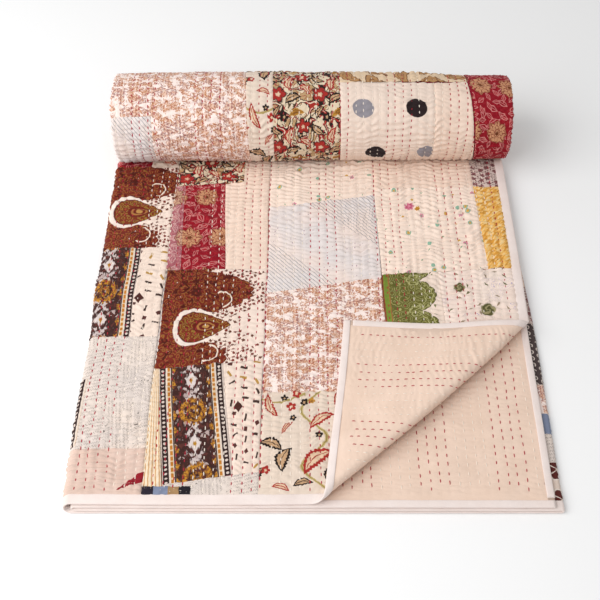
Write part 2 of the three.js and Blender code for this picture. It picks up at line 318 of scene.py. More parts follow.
# Rows of running stitch: groups of four in red, four in cream between them
ROW_GROUPS_TOP = (-278.0, -186.0, -94.0, 0.0, 93.0, 185.0, 266.0)
ROW_GROUPS_ROLL = (-258.0, -166.0, -74.0, 18.0, 110.0, 201.0)
ROW_GROUPS_SECOND = (28.0, 120.0, 212.0, 304.0, 396.0, 488.0)
ROWS_IN_GROUP = 4
ROW_SPACING = 11.6


def rows_between(starts, low, high):
    """Every row of stitches from low to high as (place, colour)."""
    rows = []
    red_width = (ROWS_IN_GROUP - 1) * ROW_SPACING
    for i, start in enumerate(starts):
        rows += [(start + k * ROW_SPACING, "red") for k in range(ROWS_IN_GROUP)]
        if i + 1 < len(starts):
            gap = starts[i + 1] - start - red_width
            pale = max(int(round(gap / ROW_SPACING)) - 1, 1)
            rows += [(start + red_width + gap * (k + 1) / (pale + 1), "cream") for k in range(pale)]
    first = starts[0]
    rows += [(first - (k + 1) * ROW_SPACING, "cream") for k in range(3)]
    return sorted(row for row in rows if low < row[0] < high)


def row_places(level):
    """Rows of a layer as (place round the section, colour)."""
    if level == SECOND:
        return rows_between(ROW_GROUPS_SECOND, 14, 556)
    if level == TOP:
        starts, low, high, measured_at = ROW_GROUPS_TOP, -286, 277, 350.0
    else:
        starts, low, high, measured_at = ROW_GROUPS_ROLL, -288, 289, 560.0
    rows = rows_between(starts, low, high)
    return [(float(x_to_s(level, x, measured_at)), colour) for x, colour in rows]


ROW_ARRAY = np.array(sorted(s for level in (SECOND, BOTTOM, TOP) for s, _ in row_places(level)))


def wander(place, t):
    """How far a row strays from its straight line."""
    slow = 2.6 * (noise(place * 0.37 + 7.1, t / 70) - 0.5)
    quick = 1.2 * (noise(place * 0.61, t / 18 + 3) - 0.5)
    return slow + quick


def row_distance(s, t):
    """How far a place lies from the nearest row of stitches."""
    index = np.clip(np.searchsorted(ROW_ARRAY, s), 1, len(ROW_ARRAY) - 1)
    best = np.full(np.shape(s), 99.0)
    for step in (-1, 0):
        place = ROW_ARRAY[index + step]
        best = np.minimum(best, np.abs(s - place - wander(place, t)))
    return best


# Half the thickness of the sheet, and how far a patch lies above it
CLOTH_HALF = 0.5
PATCH_THICK = 0.35


def free_of_binding(s, t):
    """Zero under the binding, one well inside it."""
    from_edge = np.minimum(np.minimum(s, AROUND - s), t)
    return smooth(from_edge, 9.5, 15.0)


# From one pucker to the next, and half the width of the furrow along a row of stitches
RIPPLE = 7.6
FURROW = 1.4

# Places where the quilting has drawn the cloth in most: s, t, reach and how much more
LIVELY_PLACES = (
    (2185.0, 425.0, 95.0, 0.75),
    (2020.0, 560.0, 60.0, 0.4),
    (1825.0, 310.0, 50.0, 0.5),
    (1930.0, 110.0, 60.0, 0.45),
    (2240.0, 250.0, 60.0, 0.3),
)


def pucker(s, t, strength=1.0):
    """Height of the cloth between the stitches, in millimetres, never below zero."""
    local = 0.4 + 1.1 * noise(s / 75 + 11, t / 85 + 5)
    for place_s, place_t, reach, more in LIVELY_PLACES:
        local = local + more * np.exp(-((s - place_s) ** 2 + (t - place_t) ** 2) / reach**2)
    meander = 3.0 * noise(s / 34 + 3.3, t / 52) + 1.2 * noise(s / 10 + 1.7, t / 24)
    crest = (0.5 + 0.5 * np.sin(2 * math.pi * (t / RIPPLE + meander))) ** 1.6
    crease = (1 - np.abs(2 * noise(s / 27 + 8.5, t / 5.4 + 0.3 * np.sin(s / 31)) - 1)) ** 2
    ripple = 1.15 * crest * (0.3 + noise(s / 21 + 31, t / 17 + 2)) + 0.75 * crease
    soft = noise(s / 31 + 1.7, t / 23 + 9)
    valley = 1 - 0.8 * np.exp(-((row_distance(s, t) / FURROW) ** 2))
    raised = (1.75 * local * ripple + 0.5 * soft) * (0.25 + 0.75 * valley)
    return strength * raised * free_of_binding(s, t)


def surface(s, t, side, height, strength=1.0):
    """A point height above the cloth's patchwork side (side 1) or backing side (side -1)."""
    n = outward(s, t) * side
    squeeze = 1 - 0.45 * smooth(np.asarray(t, float), 560.0, 600.0) if side < 0 else 1.0
    clear = free_of_binding(s, t)
    raised = (CLOTH_HALF + height * (0.2 + 0.8 * clear) + pucker(s, t, strength)) * squeeze
    return cloth_at(s, t) + n * np.asarray(raised)[..., None], n


# The lowest that any point may lie above the floor
FLOOR_GAP = 0.03


def add_mesh(name, points, faces, uv=None, materials=(), indices=None):
    """A mesh object from points in the cloth's millimetres. Nothing lies below the floor."""
    mesh = bpy.data.meshes.new(name)
    points = np.array(points)
    points[:, 2] = np.maximum(points[:, 2], CENTRE[2] + FLOOR_GAP)
    points = (points - np.array(CENTRE)) * MM
    mesh.from_pydata(points.tolist(), [], [list(map(int, face)) for face in faces])
    if uv is not None:
        loops = np.zeros(len(mesh.loops), dtype=np.int32)
        mesh.loops.foreach_get("vertex_index", loops)
        layer = mesh.uv_layers.new(name=PRINT_MAP)
        layer.data.foreach_set("uv", (np.asarray(uv)[loops] * MM).astype(np.float32).ravel())
    for material in materials:
        mesh.materials.append(material)
    if indices is not None:
        mesh.polygons.foreach_set("material_index", np.asarray(indices, dtype=np.int32))
    mesh.polygons.foreach_set("use_smooth", np.ones(len(mesh.polygons), dtype=bool))
    mesh.update()
    obj = bpy.data.objects.new(name, mesh)
    bpy.context.scene.collection.objects.link(obj)
    return obj


def grid_faces(rows, columns):
    i, j = np.meshgrid(np.arange(rows - 1), np.arange(columns - 1), indexing="ij")
    a = (i * columns + j).ravel()
    return np.stack([a, a + 1, a + columns + 1, a + columns], -1)


def cut_along(cells, values, level, near=0.4):
    """Cuts cells of (s, t) corners along the line where their values equal level."""
    result = []
    kept = []
    for cell, value in zip(cells, values):
        at = [0.0 if abs(v - level) < near else v - level for v in value]
        if min(at) >= 0 or max(at) <= 0:
            result.append(cell)
            kept.append(value)
            continue
        sides = {1: [], -1: []}
        for i, corner in enumerate(cell):
            j = (i + 1) % len(cell)
            for sign in (1, -1):
                if at[i] * sign >= 0:
                    sides[sign].append((corner, value[i]))
            if at[i] * at[j] < 0:
                u = at[i] / (at[i] - at[j])
                cut = tuple(corner[k] + (cell[j][k] - corner[k]) * u for k in (0, 1))
                for sign in (1, -1):
                    sides[sign].append((cut, level))
        for sign in (1, -1):
            if len(sides[sign]) > 2:
                result.append([c for c, _ in sides[sign]])
                kept.append([v for _, v in sides[sign]])
    return result, kept


def out_of_fold(s, t):
    """How far a place on the top layer lies beyond the line on which the corner turns back."""
    s, t = np.asarray(s, float), np.asarray(t, float)
    low, high = spans(t)[0][TOP]
    u = (s - TOP_START) / SECTION[RUN_OF_LAYER[TOP]][1]
    out = fold_frame(low + (high - low) * u, t)[3]
    return np.where(s < TOP_START - 1e-6, -1e3, out)


def spread(low, high, step):
    """Evenly spaced places from low to high, about a step apart."""
    return list(np.linspace(low, high, max(int(round((high - low) / step)), 1) + 1))


def thicken(name, cells, half, materials):
    """A closed sheet on the cloth's form: the patchwork side first, then the backing and edges."""
    index = {}
    rings = []
    for cell in cells:
        keys = [(round(s, 3), round(t, 3)) for s, t in cell]
        rings.append([index.setdefault(key, len(index)) for key in keys])
    count = len(index)
    s, t = np.array(list(index)).T
    middle = cloth_at(s, t)
    n = outward(s, t)
    points = np.concatenate([middle + n * half, middle - n * half])
    faces = []
    slots = []
    edges = {}
    for ring in rings:
        faces += [ring, [v + count for v in reversed(ring)]]
        slots += [0, 1]
        for a, b in zip(ring, ring[1:] + ring[:1]):
            if (b, a) in edges:
                del edges[(b, a)]
            else:
                edges[(a, b)] = True
    for a, b in edges:
        faces.append([a + count, b + count, b, a])
        slots.append(1)
    uv = np.concatenate([np.stack([s, t], -1)] * 2)
    return add_mesh(name, points, faces, uv, materials, slots)


# Grain of the whole sheet, finer where it bends
RUN_STEPS = {"layer": 30.0, "inner fold": 1.2, "right fold": 1.2, "outer fold": 2.0}
WOUND_STEP = math.radians(12)
CORNER_DEPTH = 300
CORNER_CUTS = 12


def base_rows():
    """Rows of the sheet from the front edge to the far end inside the roll."""
    rows = spread(0, 12, 12) + spread(12, 560, 20)[1:] + spread(560, 600, 6)[1:]
    wound = 600 + length_at(np.arange(math.radians(4), 80, WOUND_STEP))
    rows += [float(v) for v in wound if 604 < v <= LENGTH - 9]
    return rows + [LENGTH]


def build_base(materials):
    """The whole cloth in one piece, with cuts along the bend of the turned corner."""
    columns = []
    for i, row in enumerate(SECTION):
        columns += spread(STARTS[i], STARTS[i + 1], RUN_STEPS[row[0]])[:-1]
    columns.append(AROUND)
    rows = base_rows()
    near, rest = [], []
    for s0, s1 in zip(columns, columns[1:]):
        for t0, t1 in zip(rows, rows[1:]):
            by_corner = s0 > TOP_START - 1e-6 and t0 < CORNER_DEPTH
            (near if by_corner else rest).append([(s0, t0), (s1, t0), (s1, t1), (s0, t1)])
    corners = np.array(near)
    values = out_of_fold(corners[..., 0], corners[..., 1]).tolist()
    for k in range(CORNER_CUTS + 1):
        near, values = cut_along(near, values, k / CORNER_CUTS * math.pi * FOLD_RADIUS)
    return thicken("quilt_sheet", rest + near, CLOTH_HALF, materials)


# A patch's points lie this much further apart across the puckers than along them
ACROSS_GRAIN = 1.5


def panel(low, high, side, height, step, keep, edge_drop, strength):
    """Grid between (s, t) corners, the near pair low and the far pair high, finer along t."""
    (a, b), (d, c) = low, high
    a, b, c, d = (np.array(p, float) for p in (a, b, c, d))
    wide = max(np.linalg.norm(b - a), np.linalg.norm(c - d))
    deep = max(np.linalg.norm(d - a), np.linalg.norm(c - b))
    columns = max(int(math.ceil(wide / (step * ACROSS_GRAIN))), 3) + 1
    rows = max(int(math.ceil(deep / step)), 3) + 1
    u = np.linspace(0, 1, columns)
    v = np.linspace(0, 1, rows)
    edge_u = min(0.35, 0.8 / wide)
    edge_v = min(0.35, 0.8 / deep)
    u = np.concatenate([[0, edge_u], u[1:-1], [1 - edge_u, 1]])
    v = np.concatenate([[0, edge_v], v[1:-1], [1 - edge_v, 1]])
    vv, uu = np.meshgrid(v, u, indexing="ij")
    flat = (
        a * ((1 - uu) * (1 - vv))[..., None]
        + b * (uu * (1 - vv))[..., None]
        + c * (uu * vv)[..., None]
        + d * ((1 - uu) * vv)[..., None]
    )
    s, t = flat[..., 0], flat[..., 1]
    inside = np.minimum(np.minimum(uu, 1 - uu) * wide, np.minimum(vv, 1 - vv) * deep)
    drop = edge_drop * (1 - smooth(inside, -0.5, 2.6))
    tuck = np.where(inside < 1e-6, 0.3, 0.0)
    points, _ = surface(s, t, side, height - drop - tuck, strength)
    faces = grid_faces(*s.shape)
    if keep is not None:
        good = keep(s.ravel(), t.ravel())
        faces = faces[good[faces].all(1)]
    if side < 0:
        faces = faces[:, ::-1]
    own_place = np.stack([uu.ravel() * wide, vv.ravel() * deep], -1)
    return points.reshape(-1, 3), faces, s.ravel(), t.ravel(), own_place


# Shader arithmetic
class Value:
    """A number in a material: arithmetic with it builds the nodes."""

    def __init__(self, paint, socket):
        self.paint = paint
        self.socket = socket

    def math(self, operation, *others, clamp=False):
        return self.paint.math(operation, self, *others, clamp=clamp)

    def __add__(self, other):
        return self.math("ADD", other)

    def __radd__(self, other):
        return self.paint.math("ADD", other, self)

    def __sub__(self, other):
        return self.math("SUBTRACT", other)

    def __rsub__(self, other):
        return self.paint.math("SUBTRACT", other, self)

    def __mul__(self, other):
        return self.math("MULTIPLY", other)

    def __rmul__(self, other):
        return self.paint.math("MULTIPLY", other, self)

    def __truediv__(self, other):
        return self.math("DIVIDE", other)

    def __rtruediv__(self, other):
        return self.paint.math("DIVIDE", other, self)

    def __abs__(self):
        return self.math("ABSOLUTE")

    def __pow__(self, other):
        return self.math("POWER", other)

    def __and__(self, other):
        return self.math("MULTIPLY", other)

    def __or__(self, other):
        return self.math("MAXIMUM", other)

    def sin(self):
        return self.math("SINE")

    def cos(self):
        return self.math("COSINE")

    def floor(self):
        return self.math("FLOOR")

    def fract(self):
        return self.math("FRACT")

    def clamped(self):
        return self.math("ADD", 0.0, clamp=True)

    def over(self, limit):
        return self.math("GREATER_THAN", limit)

    def below(self, limit, soft):
        """One where the value lies below limit, fading to zero over soft."""
        return ((limit - self) / soft + 0.5).clamped()

    def within(self, limit, soft):
        return abs(self).below(limit, soft)

    def fold(self, period):
        """The value repeated over each period, from minus half of it to plus half."""
        return ((self / period).fract() - 0.5) * period


def linear(text):
    """A colour written as six hex digits, as linear values."""
    values = [int(text[i : i + 2], 16) / 255 for i in (0, 2, 4)]
    return tuple(v / 12.92 if v <= 0.04045 else ((v + 0.055) / 1.055) ** 2.4 for v in values) + (1.0,)


class Paint:
    """The nodes of one material, with the cloth's own measure in millimetres."""

    def __init__(self, name):
        self.material = bpy.data.materials.new(name)
        self.material.use_nodes = True
        self.tree = self.material.node_tree
        self.shader = self.tree.nodes["Principled BSDF"]
        place = self.node("ShaderNodeUVMap", uv_map=PRINT_MAP)
        u, v, _ = self.parts(place.outputs[0])
        self.u = u * (1 / MM)
        self.v = v * (1 / MM)

    def node(self, kind, sockets=(), **settings):
        """A node with its settings, then the values or links of its sockets."""
        node = self.tree.nodes.new(kind)
        for key, value in settings.items():
            setattr(node, key, value)
        for key, item in dict(sockets).items():
            self.feed(node.inputs[key], item)
        return node

    def feed(self, socket, item):
        if isinstance(item, Value):
            self.tree.links.new(item.socket, socket)
        elif isinstance(item, bpy.types.NodeSocket):
            self.tree.links.new(item, socket)
        elif isinstance(item, str):
            socket.default_value = linear(item)
        else:
            socket.default_value = item

    def math(self, operation, *items, clamp=False):
        node = self.node("ShaderNodeMath", enumerate(items), operation=operation, use_clamp=clamp)
        return Value(self, node.outputs[0])

    def mix(self, factor, a, b, blend="MIX"):
        sockets = {0: factor, 6: a, 7: b}
        return self.node("ShaderNodeMix", sockets, data_type="RGBA", blend_type=blend).outputs[2]

    def coats(self, ground, *coats):
        """The ground colour under coats of (where it shows, colour)."""
        for shown, tone in coats:
            ground = self.mix(shown, ground, tone)
        return ground

    def place(self, u, v, w):
        return self.node("ShaderNodeCombineXYZ", enumerate((u, v, w))).outputs[0]

    def parts(self, vector):
        node = self.node("ShaderNodeSeparateXYZ", {0: vector})
        return [Value(self, node.outputs[i]) for i in range(3)]

    def noise(self, u, v, size, detail=1.0, seed=0.0):
        sockets = {"Vector": self.place(u / size, v / size, seed), "Scale": 1.0, "Detail": detail}
        return Value(self, self.node("ShaderNodeTexNoise", sockets, noise_dimensions="3D").outputs[0])

    def random(self, a, b, seed):
        """Three random numbers for the cell (a, b)."""
        sockets = {"Vector": self.place(a + 0.31, b + 0.17, seed)}
        node = self.node("ShaderNodeTexWhiteNoise", sockets, noise_dimensions="3D")
        return self.parts(node.outputs["Color"])

    def specks(self, u, v, size, seed, randomness=1.0):
        """Distance to the nearest scattered point, in grains, and a random value for it."""
        sockets = {"Vector": self.place(u / size, v / size, seed), "Scale": 1.0, "Randomness": randomness}
        node = self.node("ShaderNodeTexVoronoi", sockets, voronoi_dimensions="3D")
        return Value(self, node.outputs["Distance"]), self.parts(node.outputs["Color"])[0]

    def angle(self, u, v):
        return v.math("ARCTAN2", u)

    def radius(self, u, v):
        return (u * u + v * v).math("SQRT")

    def repeat(self, u, v, wide, deep, seed):
        """Local place in a half-drop repeat and three random numbers for it."""
        column = (u / wide).floor()
        row_place = v / deep + column * 0.5
        row = row_place.floor()
        local_u = (u / wide - column - 0.5) * wide
        local_v = (row_place - row - 0.5) * deep
        return local_u, local_v, self.random(column, row, seed)

    def turned(self, u, v, angle):
        if isinstance(angle, Value):
            c, s = angle.cos(), angle.sin()
        else:
            c, s = math.cos(angle), math.sin(angle)
        return u * c + v * s, v * c - u * s

    def petals(self, u, v, count, size, depth, phase=0.0):
        """Below one inside a flower with rounded petals."""
        wave = abs((self.angle(u, v) * (count / 2) + phase).cos()) * depth + (1 - depth)
        return self.radius(u, v) / (wave * size)

    def leaf(self, u, v, long, wide):
        """Below one inside a pointed leaf along u."""
        across = abs(v) / wide
        return (u / long) * (u / long) + across * (1.0 + abs(u) / long * 0.8)

    def handmade(self, amount, size):
        """Place with the small wander of block printing."""
        du = (self.noise(self.u, self.v, size, 2.0, 3.7) - 0.5) * (2 * amount)
        dv = (self.noise(self.u, self.v, size, 2.0, 8.1) - 0.5) * (2 * amount)
        return self.u + du, self.v + dv


# Prints: each takes the paint and returns the colour of the cloth. Sizes are in millimetres
FULL_TURN = 6.28


def plain(ground, shade):
    def colour(p):
        return p.mix(p.noise(p.u, p.v, 34.0, 3.0).below(0.5, 0.3), ground, shade)

    return colour


# Leaves of the rust print: spacing, seed, length and width
RUST_LEAVES = ((5.6, 2.0, 3.0, 1.05), (4.4, 7.0, 2.2, 0.85), (6.6, 4.0, 4.2, 1.0))


def print_rust_sprig(p):
    u, v = p.handmade(1.2, 6.0)
    cluster = p.noise(u + v * 0.35, v * 1.25, 13.0, 2.0, 1.0)
    cooler = p.noise(u, v, 30.0, 1.0, 6.0).below(0.46, 0.08)
    fine, fine_pick = p.specks(u, v, 1.9, 5.0)
    dust = fine.below(0.38, 0.1) & cluster.over(0.4) & fine_pick.over(0.45)
    wash = (1.0 - cluster).below(0.52, 0.06) & p.noise(u, v, 7.5, 1.0, 3.0).below(0.54, 0.06)
    result = p.coats("fae8e0", (wash * 0.6, "d8a07a"), (dust, "c4835e"))
    for grain, seed, long, wide in RUST_LEAVES:
        lu, lv, (r1, r2, r3) = p.repeat(u, v, grain, grain * 0.85, seed)
        lu, lv = p.turned(lu, lv, (r1 - 0.5) * 3.0 + 0.6)
        shown = p.leaf(lu, lv, long, wide).below(1.0, 0.25) & cluster.over(0.445) & r2.over(0.15)
        tone = p.mix(cooler, p.mix(r3.over(0.5), "9d5032", "bf7c4c"), "9a6260")
        result = p.mix(shown * 0.66, result, tone)
    return result


def print_hatch(p):
    u, v = p.handmade(0.9, 12.0)
    line = (u + v * 0.82).fold(5.4).within(0.5, 0.35)
    slope = p.u + p.v * 1.02
    zone = slope.below(96.0, 5.0) | (1.0 - slope.below(214.0, 5.0))
    near, _ = p.specks(p.u, p.v, 6.3, 4.0, 0.6)
    dots = near.below(0.12, 0.04) & (1.0 - zone)
    ground = p.mix(p.noise(u, v, 60.0, 2.0).below(0.5, 0.2), "eedcd3", "e6dcd9")
    worn = p.noise(u, v, 5.0, 2.0, 2.0) * 1.4
    return p.coats(ground, (dots, "a98a96"), (line & zone & worn, "6f7175"))


# Motifs of the vine print: kind, place, turn in degrees, length and width
VINE_REPEAT = (92.0, 150.0)
VINE_GROWTH = (1.35, 1.5)
VINE_MOTIFS = (
    ("red_floret", 46, 143, 0, 4.6, 4.6),
    ("black_floret", 30, 137, 20, 3.8, 3.8),
    ("black_floret", 56, 130, 50, 4.2, 4.2),
    ("red_floret", 39, 124, 30, 5.2, 5.2),
    ("gold_floret", 66, 132, 0, 3.6, 3.6),
    ("black_floret", 41, 108, 70, 3.8, 3.8),
    ("red_leaf", 32, 95, 52, 8.5, 1.9),
    ("red_leaf", 10, 125, 112, 14.0, 3.6),
    ("red_leaf", 76, 106, 32, 14.0, 4.2),
    ("black_leaf", 15, 72, -22, 12.0, 4.6),
    ("black_leaf", 27, 50, 72, 13.0, 5.4),
    ("red_leaf", 68, 50, 38, 18.0, 6.6),
    ("black_leaf", 86, 28, 60, 11.0, 5.0),
    ("red_leaf", 27, 12, -18, 8.0, 2.6),
    ("black_floret", 74, 82, 10, 4.0, 4.0),
    ("red_floret", 8, 34, 0, 4.4, 4.4),
    ("black_leaf", 52, 18, 12, 9.0, 3.2),
)

# Motifs of the dense print
DENSE_REPEAT = (62.0, 76.0)
DENSE_MOTIFS = (
    ("black_floret", 13, 14, 0, 13.4, 13.4),
    ("red_floret", 13, 14, 0, 11.0, 11.0),
    ("black_leaf", 34, 10, 24, 13.0, 5.6),
    ("red_leaf", 28, 33, 80, 13.0, 5.6),
    ("black_leaf", 8, 40, 145, 12.0, 5.0),
    ("black_floret", 49, 46, 25, 12.2, 12.2),
    ("red_floret", 49, 46, 25, 10.0, 10.0),
    ("black_floret", 22, 58, 0, 7.0, 7.0),
    ("red_leaf", 54, 24, -40, 11.0, 4.6),
    ("gold_leaf", 40, 66, 10, 11.0, 4.4),
    ("black_leaf", 10, 66, 60, 10.0, 4.2),
    ("black_floret", 46, 34, 40, 4.6, 4.6),
)
MOTIF_TONES = {
    "red": ("a92f28", "e2c3a4"),
    "black": ("241a18", "c9a27c"),
    "gold": ("b98434", "8a5a28"),
}


def lay_motifs(p, result, u, v, rows, cell, growth=(1.0, 1.0)):
    for kind, place_u, place_v, turn, long, wide in rows:
        outline, heart = MOTIF_TONES[kind.split("_")[0]]
        long, wide = long * growth[0], wide * growth[1]
        lu = (u - place_u + cell[0] / 2).fold(cell[0])
        lv = (v - place_v + cell[1] / 2).fold(cell[1])
        lu, lv = p.turned(lu, lv, math.radians(turn))
        if kind.endswith("floret"):
            shape = p.petals(lu, lv, 5.0, long, 0.42)
            result = p.coats(result, (shape.below(1.0, 0.2), outline), (shape.below(0.32, 0.15), heart))
            continue
        bow = (lu / long) * (lu / long)
        lv = lv + bow * (wide * 0.9)
        shape = bow + (abs(lv) / wide) * ((lu * 1.5).sin() * 0.1 + 1.0)
        rib = abs(lv).below(0.5, 0.3) & shape.below(0.5, 0.1)
        result = p.coats(
            result, (shape.below(1.06, 0.1), outline), (shape.below(0.64, 0.1), heart), (rib, outline)
        )
    return result


def print_vine(p):
    u, v = p.handmade(1.3, 7.0)
    bend = ((v - 118.0) * (2 * math.pi / 80.0)).cos() * 16.0
    side = (u - 68.0 + bend + 46.0).fold(92.0)
    fuzz = (p.noise(u, v, 1.6, 1.0, 5.0) - 0.5) * 3.0
    branch = (v - 136.0 + (u / 13.0).sin() * 6.0 + 75.0).fold(150.0)
    result = p.coats(
        "e6d3c2",
        (abs(side + fuzz).below(2.4, 1.2), "c0ab74"),
        (abs(side).below(0.6, 0.4), "94803f"),
        (abs(branch + fuzz * 0.6).below(1.5, 0.7) & u.below(58.0, 1.0), "b09a62"),
    )
    return lay_motifs(p, result, u, v, VINE_MOTIFS, VINE_REPEAT, VINE_GROWTH)


def print_dense(p):
    u, v = p.handmade(2.4, 8.0)
    flow = (p.noise(u, v, 34.0, 1.0, 12.0) * 6.0).fract() - 0.5
    patchy = p.noise(u, v, 17.0, 1.0, 4.0)
    fine = (p.noise(u, v, 15.0, 1.0, 5.0) * 7.0).fract() - 0.5
    result = p.coats(
        "e4d0b4",
        (patchy.over(0.55), "bf9e74"),
        (fine.within(0.1, 0.04) & patchy.over(0.44), p.mix(patchy.over(0.52), "5a4a34", "9c3a30")),
        (flow.within(0.23, 0.02) & patchy.over(0.4), "2a1f1c"),
        (flow.within(0.12, 0.02) & patchy.over(0.4), p.mix(patchy.over(0.56), "a8322a", "e6d3b4")),
        (flow.within(0.03, 0.02) & patchy.over(0.46), "ead8c0"),
    )
    result = lay_motifs(p, result, u, v, DENSE_MOTIFS, DENSE_REPEAT)
    near, pick = p.specks(u, v, 3.6, 5.0)
    return p.mix(near.below(0.24, 0.08) & pick.over(0.55), result, "4a2a22")


def brown_ornament(p, u, v):
    """Dense block-printed filling of the paisley field."""
    near, pick = p.specks(u, v, 8.5, 3.0)
    rings = (near * 21.0).sin()
    flow = (p.noise(u, v, 19.0, 2.0, 2.0) * 26.0).sin()
    return p.coats(
        "74261a",
        (rings.over(0.15), "873c22"),
        (rings.over(0.82), "94622e"),
        (near.below(0.13, 0.05), p.mix(pick.over(0.7), "5c1d12", "e8d4c0")),
        (flow.over(0.86), "521a10"),
    )


def bump_at(v, centre, width):
    """A smooth swell from 0 to 1 about a place."""
    return (1.0 - ((v - centre) / width) ** 2.0).clamped()


# White hooks of the paisley print: place and the side on which they open
PAISLEY_HOOKS = ((80.0, 108.0, 1.0), (66.0, 18.0, -1.0))


def print_paisley(p):
    u, v = p.handmade(0.7, 6.0)
    reach = 58.0 + bump_at(v, 122.0, 36.0) ** 0.7 * 58.0 + bump_at(v, 8.0, 28.0) ** 0.6 * 27.0
    scallop = abs((v / 4.2).sin()) * 5.0 + abs((u / 5.0).sin()) * 3.0
    inside = reach + scallop - u

    # Sprigs scattered beside the field
    sprig_u, sprig_v, (r1, r2, r3) = p.repeat(u, v, 6.0, 6.4, 9.0)
    stem_u, stem_v = p.turned(sprig_u + (r3 - 0.5) * 3.0, sprig_v + (r1 - 0.5) * 3.0, r1 * FULL_TURN)
    sprig = p.petals(stem_u + r3 * 1.2, stem_v, 5.0, 2.4, 0.45)
    stalk = abs(stem_v + (stem_u * 0.9).sin() * 0.7).below(0.42, 0.3)
    shown = (sprig.below(1.0, 0.15) | stalk) & r2.over((0.0 - inside) / 82.0)
    result = p.coats(
        "f3ded0",
        (shown, p.mix(r3.over(0.5), "7b2f22", "6a3c2c")),
        (inside.over(0.0), "5e2014"),
        (inside.over(1.1), brown_ornament(p, u, v)),
    )
    for hook_u, hook_v, side in PAISLEY_HOOKS:
        du, dv = u - hook_u, v - hook_v
        ring = (p.radius(du, dv) - 13.0).within(0.9, 0.4)
        result = p.mix(ring & (du + dv * (0.3 * side)).over(-3.0), result, "efdccc")

    # The large drop
    along, across = u - 58.0, v - 63.0
    taper = 1.0 - along * (0.66 / 36.0)
    drop = p.radius(along / 35.0, across / (taper * 22.0))
    heart = p.radius((along - 2.0) / 17.0, across / (taper * 10.0))
    near, pick = p.specks(u, v, 6.5, 4.0)
    rings = (near * 17.0 + 1.0).sin()
    filling = p.mix(rings.over(0.35), "7a2f1a", "94702f")
    filling = p.mix(near.below(0.16, 0.06), filling, p.mix(pick.over(0.5), "4f1a10", "a88a48"))
    return p.coats(
        result,
        (drop.below(1.17, 0.03) & along.below(14.0, 8.0), "f2e2d6"),
        (drop.below(1.0, 0.03), "5a1d12"),
        (drop.below(0.95, 0.03), filling),
        (heart.below(1.0, 0.05), "6a1f14"),
        ((heart - 0.62).within(0.1, 0.06), "a9713c"),
        (heart.below(0.28, 0.1), "b98a4c"),
    )


IKAT_MIDDLE = 41.0


def print_ikat(p):
    """A strip 82 mm wide: chain, gold stripe, blurred motifs, gold stripe, chain."""
    thread = (p.u / 1.3).floor() * 7.3
    jag = (p.noise(thread, p.v * 0.06, 1.0, 0.0, 5.0) - 0.5) * 13.0
    x = p.u - IKAT_MIDDLE + (p.noise(p.u, p.v, 3.0, 2.0, 2.0) - 0.5) * 2.5
    y = (p.v + jag - 96.0).fold(92.0)
    blur = p.noise(p.u, p.v * 0.6, 4.6, 2.0, 6.0)
    from_star = abs(y) - 22.0
    cross = abs(abs(x) - abs(from_star)).below(2.8, 1.2) & p.radius(x, from_star).below(14.0, 3.0)
    frost = p.noise(p.u, p.v, 13.0, 1.0, 4.0).over(0.61) & blur.over(0.5)
    lozenge = abs(x) / 8.0 + abs(y) / 14.5
    eye = p.radius(x / 18.0, (abs(y) - 46.0) / 19.0)
    gold = p.mix(p.noise(p.u, p.v, 3.4, 2.0, 8.0).over(0.5), "c5882c", "8e5a26")
    opened = (x * 0.6 + abs(y) - 46.0).below(12.0, 3.0)
    flank = abs(abs(x) - 23.0) / 5.0 + abs((y - 8.0).fold(23.0)) / 8.0
    body = p.coats(
        "40241f",
        (blur.below(0.43, 0.06), "5c302a"),
        ((1.0 - blur).below(0.36, 0.05), "8d7d7a"),
        (cross & blur.over(0.44), "cdbdb9"),
        (frost, "b8a29d"),
        (lozenge.below(1.0, 0.12), "ded0cb"),
        (lozenge.below(0.34, 0.1), "b5832f"),
        ((eye - 0.8).within(0.18, 0.1) & blur.over(0.42) & opened, gold),
        ((eye - 0.3).within(0.12, 0.08) & blur.over(0.4), gold),
        (flank.below(0.8, 0.2) & blur.over(0.4), gold),
    )
    side = IKAT_MIDDLE - abs(p.u - IKAT_MIDDLE)
    chain = 1.0 - p.radius((side - 4.4) / 1.25, p.v.fold(5.8)).below(1.5, 0.35)
    dash = p.v.fold(7.5).within(2.6, 0.6)
    return p.coats(
        "e7d6c6",
        (side.over(16.5), body),
        ((side - 15.6).within(0.8, 0.3), "3a241f"),
        ((side - 12.2).within(1.7, 0.4), p.mix(dash, "e3c79c", "c07a2c")),
        (side.below(8.6, 0.3), "d8c6bb"),
        (side.below(8.2, 0.3) & side.over(0.9) & chain, "33211e"),
    )


def print_confetti(p):
    u, v = p.handmade(0.5, 6.0)
    lu, lv, (r1, r2, r3) = p.repeat(u, v, 17.5, 15.0, 1.0)
    turn = (r1 * 4.0).floor() * (math.pi / 4) + 0.5
    lu, lv = p.turned(lu + (r3 - 0.5) * 4, lv + (r1 - 0.5) * 3, turn)
    dash = (abs(lu / 4.8) | abs(lv / 1.5)).below(1.0, 0.15)
    block = (abs(lu / 2.7) | abs(lv / 3.0)).below(1.0, 0.15)
    wide_u, wide_v, _ = p.repeat(u + 14.0, v - 40.0, 62.0, 104.0, 6.0)
    diamond = abs(wide_u) / 7.0 + abs(wide_v) / 8.5
    return p.coats(
        "efdacb",
        (dash & r2.over(0.64), "43302a"),
        (dash & r2.below(0.22, 0.001), "b58b46"),
        (block & (r2 - 0.4).within(0.13, 0.001), "58302c"),
        (diamond.below(1.0, 0.08), "4b2620"),
    )


